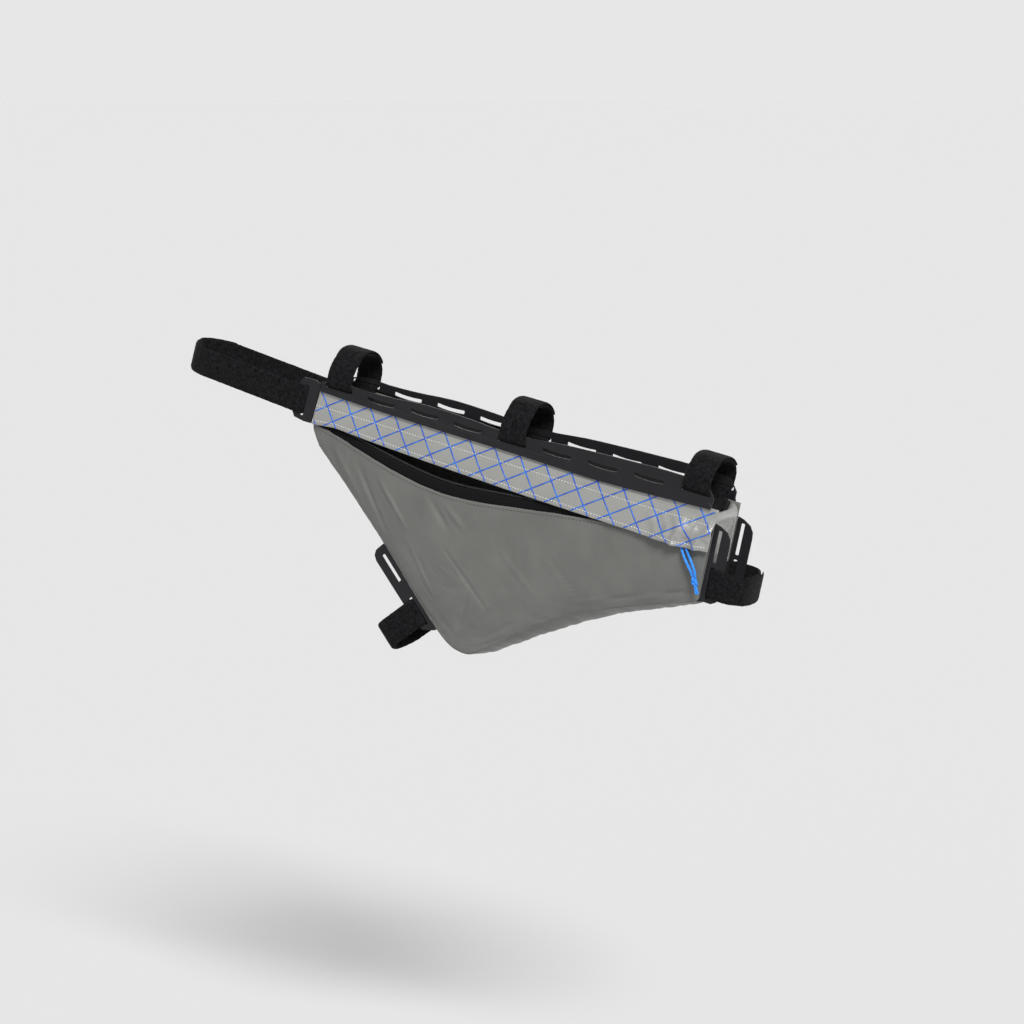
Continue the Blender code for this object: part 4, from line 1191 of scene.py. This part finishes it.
def strap_piece(node, path, centre, out, width_axis):
    """A hook-and-loop strap: a flat band with rounded edges and an uneven pile."""
    columns = 16
    half = STRAP_THICKNESS / 2
    flat = np.array(path)
    step = np.linalg.norm(np.diff(flat, axis=0), axis=1)
    keep = np.concatenate([[True], step > 1e-7])
    flat = flat[keep]
    step = np.linalg.norm(np.diff(flat, axis=0), axis=1)
    reach = np.concatenate([[0.0], np.cumsum(step)])
    count = int(reach[-1] / 0.0011)
    wanted = np.linspace(0, reach[-1], count)
    line = np.stack([np.interp(wanted, reach, flat[:, k]) for k in range(2)], axis=1)
    run = np.gradient(line, axis=0)
    run /= np.linalg.norm(run, axis=1, keepdims=True)
    profile = []
    for k in range(columns + 1):
        profile.append((-1 + 2 * k / columns, 1.0))
    for k in range(columns + 1):
        profile.append((1 - 2 * k / columns, -1.0))
    vertices = []
    rings = []
    side_axis = Vector((0, 1, 0))
    for index in range(count):
        square = Vector((-run[index][1], run[index][0]))
        ring = []
        end_fade = min(1.0, (index + 0.6) / 2.0, (count - index - 0.4) / 2.0)
        for wide, face in profile:
            rounding = math.sqrt(max(1 - abs(wide) ** 10, 0.0)) * 0.75 + 0.25
            pile = 0.00014 * ripple(wanted[index], wide * 0.012 + face, 0.0017, 1.0)
            edge = 0.00022 * ripple(wanted[index], face * 0.1 + math.copysign(1, wide), 0.0021, 2.0)
            thick = face * (half * rounding * (0.4 + 0.6 * end_fade) + pile * end_fade)
            reach_out = wide * (STRAP_WIDTH / 2 - 0.0002 + (edge if abs(wide) > 0.95 else 0.0))
            place_at = Vector(line[index]) + square * thick
            ring.append(len(vertices))
            vertices.append(centre + side_axis * place_at.x + out * place_at.y
                            + width_axis * reach_out)
        rings.append(ring)
    faces = []
    join_rings(faces, rings)
    return mesh_piece(node + "_pile", vertices, faces, "strap_pile", node)


def slit_drop(number):
    row = by_along(FINE_STRIP, number * SLIT_PITCH / LENGTH)
    return (row.top + SLIT_SHARE * (row.foot - row.top)) * DROP, row.top * DROP


def straps():
    half = TOP_SLITS // 2
    under = -(TUBE_RADIUS + GAP + STRAP_THICKNESS / 2)
    for node, number in (("top_strap_front", -half), ("top_strap_middle", 0), ("top_strap_rear", half)):
        slit, edge = slit_drop(number)
        shoulder = max(-edge + 2 * GAP, -2 * GAP)
        path = strap_path(-slit, shoulder, -under, 2.0, under, 2.0, 76, 148)
        strap_piece(node, path, place(number * SLIT_PITCH, 0, 0), -place(0, 1, 0), place(1, 0, 0))
    rows = smooth_rows(DOWN_EDGE, 81)
    index = round(DOWN_STRAP_AT * 80)
    here = at(rows[index].along, rows[index].drop, 0)
    run = (at(rows[index + 8].along, rows[index + 8].drop, 0)
           - at(rows[index - 24].along, rows[index - 24].drop, 0)).normalized()
    reach = Vector((run.z, 0, -run.x))
    seat = 2 * GAP + STRAP_THICKNESS / 2
    crown = seat + DOWN_TUBE_DEPTH + STRAP_THICKNESS
    path = strap_path(FLAP_SLIT_REACH, crown - DOWN_TUBE_NOSE, crown, 2.3, seat, 5.0, 100, 156)
    strap_piece("down_tube_strap", path, here, reach, run)
    edge = BOTTOM_EDGE[-1].along
    here = place(edge * LENGTH + GAP, REAR_STRAP_DROP * DROP, 0)
    crown = seat + SEAT_TUBE_DEPTH + STRAP_THICKNESS
    path = strap_path(FLAP_SLIT_REACH, crown - SEAT_TUBE_NOSE, crown, 2.3, seat, 5.0, 70, 128)
    strap_piece("seat_tube_strap", path, here, place(1, 0, 0), place(0, 1, 0))
    tilt = math.radians(SLOPE + HEAD_TILT)
    reach = Vector((-math.cos(tilt), 0, math.sin(tilt)))
    run = Vector((-math.sin(tilt), 0, -math.cos(tilt)))
    here = at(FRONT_END, FRONT_STRAP_DROP, 0) + reach * FRONT_FLAP_STEP
    crown = FRONT_SLIT_REACH + HEAD_REACH
    path = strap_path(FRONT_SLIT_REACH, crown - STRAP_SIDE, crown, 2.0, HEAD_SEAT, 5.0, 112, 168)
    strap_piece("head_tube_strap", path, here, reach, run)


# The zip


def tape_top_share(along):
    """How tall the lower tape stands above the lip, as a share of TAPE_HEIGHT."""
    rise = min(max((along - FRONT_END) / 0.28, 0.0), 1.0)
    fall = min(max((0.36 - along) / 0.46, 0.0), 1.0)
    return 0.12 + 0.68 * math.sin(rise * math.pi / 2) * math.sin(fall * math.pi / 2) ** 1.5


def helix(name, line, node):
    """A zip's coil: a fine wire wound along a line."""
    line = np.array([list(p) for p in line])
    points, _ = resampled(line, np.ones((len(line), 3)), COIL_PITCH / 10)
    run = np.gradient(points, axis=0)
    run /= np.linalg.norm(run, axis=1, keepdims=True)
    wound = []
    for index, centre in enumerate(points):
        ahead = Vector(run[index])
        first = Vector((0, 1, 0))
        first = (first - ahead * first.dot(ahead)).normalized()
        second = ahead.cross(first)
        turn = 2 * math.pi * index / 10
        wound.append(Vector(centre) + first * (math.cos(turn) * (COIL_RADIUS - COIL_WIRE))
                     + second * (math.sin(turn) * (COIL_RADIUS - COIL_WIRE)))
    return tube_piece(name, wound, COIL_WIRE, 5, "zip_coil", node)


def zip_parts():
    """Two tapes with a coil on each facing edge, open right to the slider."""
    inset = CLOTH + GAP
    ribs = smooth_rows(NEAR_RIBS, 34)[1:-1]
    fine = smooth_rows(ribs, 240)
    lower = np.zeros((len(fine), 9, 3))
    uvs = np.zeros((len(fine), 9, 2))
    coil = []
    for i, rib in enumerate(fine):
        side = inset - rib.depth * HALF_DEPTH
        tall = tape_top_share(rib.along) * TAPE_HEIGHT
        along, drop, depth = near_point(rib, perimeter(rib.foot), TAPE_UNDERLAP)
        foot = at(along, drop, -depth) + Vector((0, inset, 0))
        lip = place(rib.along * LENGTH, rib.drop * DROP, side)
        top = place(rib.along * LENGTH, rib.drop * DROP - tall, side)
        wavy = Vector((0, 0.00025 * ripple(rib.along * LENGTH, 0.0, 0.018, 4.0), 0))
        for j in range(9):
            t = j / 4
            spot = foot + (lip - foot) * t if t <= 1 else lip + (top - lip) * (t - 1) + wavy * (t - 1)
            lower[i, j] = spot
            uvs[i, j] = (rib.along * LENGTH, (j - 4) / 4 * tall)
        coil.append(place(rib.along * LENGTH, rib.drop * DROP - tall - COIL_RADIUS - GAP,
                          side + TAPE / 2) + wavy)
    cloth_piece("zip_tape_lower_weave", lower, uvs, (0, -1, 0), "zip_tape", TAPE, "zip_tape_lower")
    helix("zip_coil_lower_teeth", coil, "zip_coil_lower")
    rows = smooth_rows(smooth_rows(BAND_ROWS, 28)[1:-1], 240)
    upper = np.zeros((len(rows), 7, 3))
    uvs = np.zeros((len(rows), 7, 2))
    coil = []
    for i, row in enumerate(rows):
        along = row.along * LENGTH
        for j in range(7):
            drop = UPPER_ZIP_DROP - UPPER_TAPE_HEIGHT * (6 - j) / 6
            upper[i, j] = place(along, drop, inset - band_side(row, drop))
            uvs[i, j] = (along, drop)
        coil_drop = UPPER_ZIP_DROP + COIL_RADIUS + GAP
        coil.append(place(along, coil_drop, inset + COIL_RADIUS - band_side(row, coil_drop)))
    cloth_piece("zip_tape_upper_weave", upper, uvs, (0, -1, 0), "zip_tape", TAPE, "zip_tape_upper")
    helix("zip_coil_upper_teeth", coil, "zip_coil_upper")


def slider_point():
    """The slider's middle, over the coil and above the lip, as along, drop and side in metres."""
    rib = by_along(FINE_RIBS, SLIDER_ALONG)
    drop = rib.drop * DROP - GAP - SLIDER_HEIGHT / 2
    coil_face = rib.depth * HALF_DEPTH - CLOTH - GAP - TAPE / 2 + COIL_RADIUS
    return rib.along * LENGTH, drop, -(coil_face + GAP / 2 + SLIDER_DEPTH / 2)


def zip_slider():
    """The slider's body with its two flanges and the bail that the cord passes through."""
    along, drop, side = slider_point()
    centre = place(along + SLIDER_SHIFT, drop, side)
    turn = Matrix((place(1, 0, 0), Vector((0, 1, 0)), place(0, 1, 0))).transposed()
    body = bmesh.new()
    outline = [(-0.50, -0.30), (-0.36, -0.50), (0.36, -0.50), (0.50, -0.30), (0.42, 0.30),
               (0.24, 0.50), (-0.24, 0.50), (-0.42, 0.30)]
    for low, high in ((-0.50, -0.22), (0.22, 0.50)):
        rings = []
        for level, shrink in ((low, 0.90), ((low + high) / 2, 1.0), (high, 0.90)):
            ring = [body.verts.new((a * SLIDER_LENGTH * shrink, level * SLIDER_DEPTH,
                                    b * SLIDER_HEIGHT * shrink)) for a, b in outline]
            rings.append(ring)
        for ring, following in zip(rings, rings[1:]):
            for k in range(len(ring)):
                after = (k + 1) % len(ring)
                body.faces.new((ring[k], ring[after], following[after], following[k]))
        body.faces.new(rings[0][::-1])
        body.faces.new(rings[-1])
    post = bmesh.ops.create_cube(body, size=1.0)
    for vertex in post["verts"]:
        vertex.co = Vector((vertex.co.x * 0.24 * SLIDER_LENGTH, vertex.co.y * 0.6 * SLIDER_DEPTH,
                            vertex.co.z * 0.7 * SLIDER_HEIGHT))
    bails = []
    for step in range(13):
        bend = math.pi * step / 12
        bails.append((math.cos(bend) * 0.36, -0.42 - 0.34 * math.sin(bend)))
    rings = []
    for a, level in bails:
        ring = []
        for k in range(6):
            angle = 2 * math.pi * k / 6
            ring.append(body.verts.new((a * SLIDER_LENGTH,
                                        level * SLIDER_DEPTH + 0.00035 * math.cos(angle),
                                        0.12 * SLIDER_HEIGHT + 0.0006 * math.sin(angle))))
        rings.append(ring)
    for ring, following in zip(rings, rings[1:]):
        for k in range(6):
            after = (k + 1) % 6
            body.faces.new((ring[k], ring[after], following[after], following[k]))
    body.normal_update()
    bmesh.ops.recalc_face_normals(body, faces=body.faces[:])
    mesh = bpy.data.meshes.new("zip_slider_body")
    body.to_mesh(mesh)
    body.free()
    mesh.transform(Matrix.Translation(centre) @ turn.to_4x4())
    obj = link_object("zip_slider_body", mesh)
    rounding = obj.modifiers.new("rounding", "BEVEL")
    rounding.width = 0.00022
    rounding.segments = 2
    rounding.limit_method = "ANGLE"
    mesh.shade_smooth()
    mesh.set_sharp_from_angle(angle=math.radians(40))
    finish_piece(obj, "zip_coil", "zip_slider")


def cord_curve(name, points):
    curve = bpy.data.curves.new(name, "CURVE")
    curve.dimensions = "3D"
    curve.bevel_depth = CORD_RADIUS
    curve.bevel_resolution = 4
    curve.use_fill_caps = True
    spline = curve.splines.new("POLY")
    spline.points.add(len(points) - 1)
    for control, point in zip(spline.points, points):
        control.co = (*point, 1.0)
    return link_object(name, curve)


def pull_cord():
    """The zip's pull: two legs of cord from the slider down to an overhand knot."""
    along, drop, side = slider_point()
    exit_drop = drop + SLIDER_HEIGHT / 2 + GAP / 2
    exit_side = side - CORD_RADIUS
    mean = [(a + b) / 2 * CORD_DROP for a, b in zip(FRONT_LEG[-1], REAR_LEG[-1])]
    start = (along + mean[0], exit_drop + mean[1] + GAP, exit_side + mean[2])
    strand = []
    for step in range(97):
        turn = 2 * math.pi * step / 96
        wide = math.sin(turn) + 2 * math.sin(2 * turn)
        deep = math.cos(turn) - 2 * math.cos(2 * turn)
        down = KNOT_MIDDLE + deep * KNOT_TALL
        strand.append(place(start[0] + wide * KNOT_WIDE + KNOT_LEAN * down, start[1] + down,
                            start[2] - math.sin(3 * turn) * KNOT_DEEP))
    knot = tube_piece("pull_cord_knot_turns", strand, CORD_RADIUS * 0.98, 10, "cord", "pull_cord_knot")
    tails = []
    for name, lean in (("pull_cord_tail_front", -0.0007), ("pull_cord_tail_rear", 0.0011)):
        tail = [place(start[0] + lean * (0.3 + 0.7 * t) + KNOT_LEAN * (TAIL_FROM + TAIL_LENGTH * t),
                      start[1] + TAIL_FROM + TAIL_LENGTH * t, start[2])
                for t in (0.0, 0.2, 0.4, 0.6, 0.8, 0.97, 1.0)]
        tails.append(tube_piece(name, tail, CORD_RADIUS * 0.85, 10, "cord"))
    for name, node, route, pieces in (
            ("pull_cord_front", "pull_cord_front_leg", FRONT_LEG, [knot] + tails),
            ("pull_cord_rear", "pull_cord_rear_leg", REAR_LEG, [])):
        points = []
        for row in smooth_rows(route, 33):
            points.append(place(along + row.along * CORD_DROP, exit_drop + row.drop * CORD_DROP,
                                exit_side + row.side * CORD_DROP))
        obj = cord_curve(name, points)
        finish_piece(obj, "cord", node)
        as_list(pieces)


# Camera, light and floor


def stage():
    scene = bpy.context.scene
    yaw = math.radians(CAMERA_YAW)
    pitch = math.radians(CAMERA_PITCH)
    back = Vector((math.sin(yaw) * math.cos(pitch), -math.cos(yaw) * math.cos(pitch), math.sin(pitch)))
    camera_data = bpy.data.cameras.new("camera")
    camera_data.lens = CAMERA_LENS
    camera_data.sensor_width = 36.0
    camera = link_object("camera", camera_data)
    camera.location = LOOK_AT + back * CAMERA_DISTANCE
    camera.rotation_euler = back.to_track_quat("Z", "Y").to_euler()
    scene.camera = camera

    world = bpy.data.worlds.new("studio")
    world.use_nodes = True
    background = world.node_tree.nodes["Background"]
    source = world.node_tree.nodes.new("ShaderNodeTexCoord")
    split = world.node_tree.nodes.new("ShaderNodeSeparateXYZ")
    world.node_tree.links.new(source.outputs["Generated"], split.inputs[0])
    sky = world.node_tree.nodes.new("ShaderNodeValToRGB")
    stops = sky.color_ramp.elements
    stops.new(0.5)
    for stop, (height, shade) in zip(stops, SKY):
        stop.position = height
        stop.color = (shade, shade, shade, 1.0)
    world.node_tree.links.new(split.outputs["Z"], sky.inputs["Fac"])
    world.node_tree.links.new(sky.outputs["Color"], background.inputs["Color"])
    scene.world = world
    for name, angles, softness, strength in LIGHTS:
        light_data = bpy.data.lights.new(name, "SUN")
        light_data.angle = math.radians(softness)
        light_data.energy = strength
        light = link_object(name, light_data)
        turn = math.radians(angles[0])
        rise = math.radians(angles[1])
        away = Vector((math.sin(turn) * math.cos(rise), -math.cos(turn) * math.cos(rise), math.sin(rise)))
        light.location = LOOK_AT + away * 2
        light.rotation_euler = away.to_track_quat("Z", "Y").to_euler()

    bpy.ops.mesh.primitive_plane_add(size=400.0, location=(0, 0, FLOOR_Z))
    floor = bpy.context.object
    floor.name = "floor"
    pale, _, shader = new_material("floor", (FLOOR_SHADE, FLOOR_SHADE, FLOOR_SHADE), 1.0)
    shader.inputs["Specular IOR Level"].default_value = 0.0
    floor.data.materials.append(pale)
    scene.view_settings.view_transform = "Standard"


stage()
pull_cord()
zip_slider()
near_panel()
near_band()
far_panel()
gussets()
seams()
front_gusset()
top_panel()
strips_and_flaps()
straps()
zip_parts()
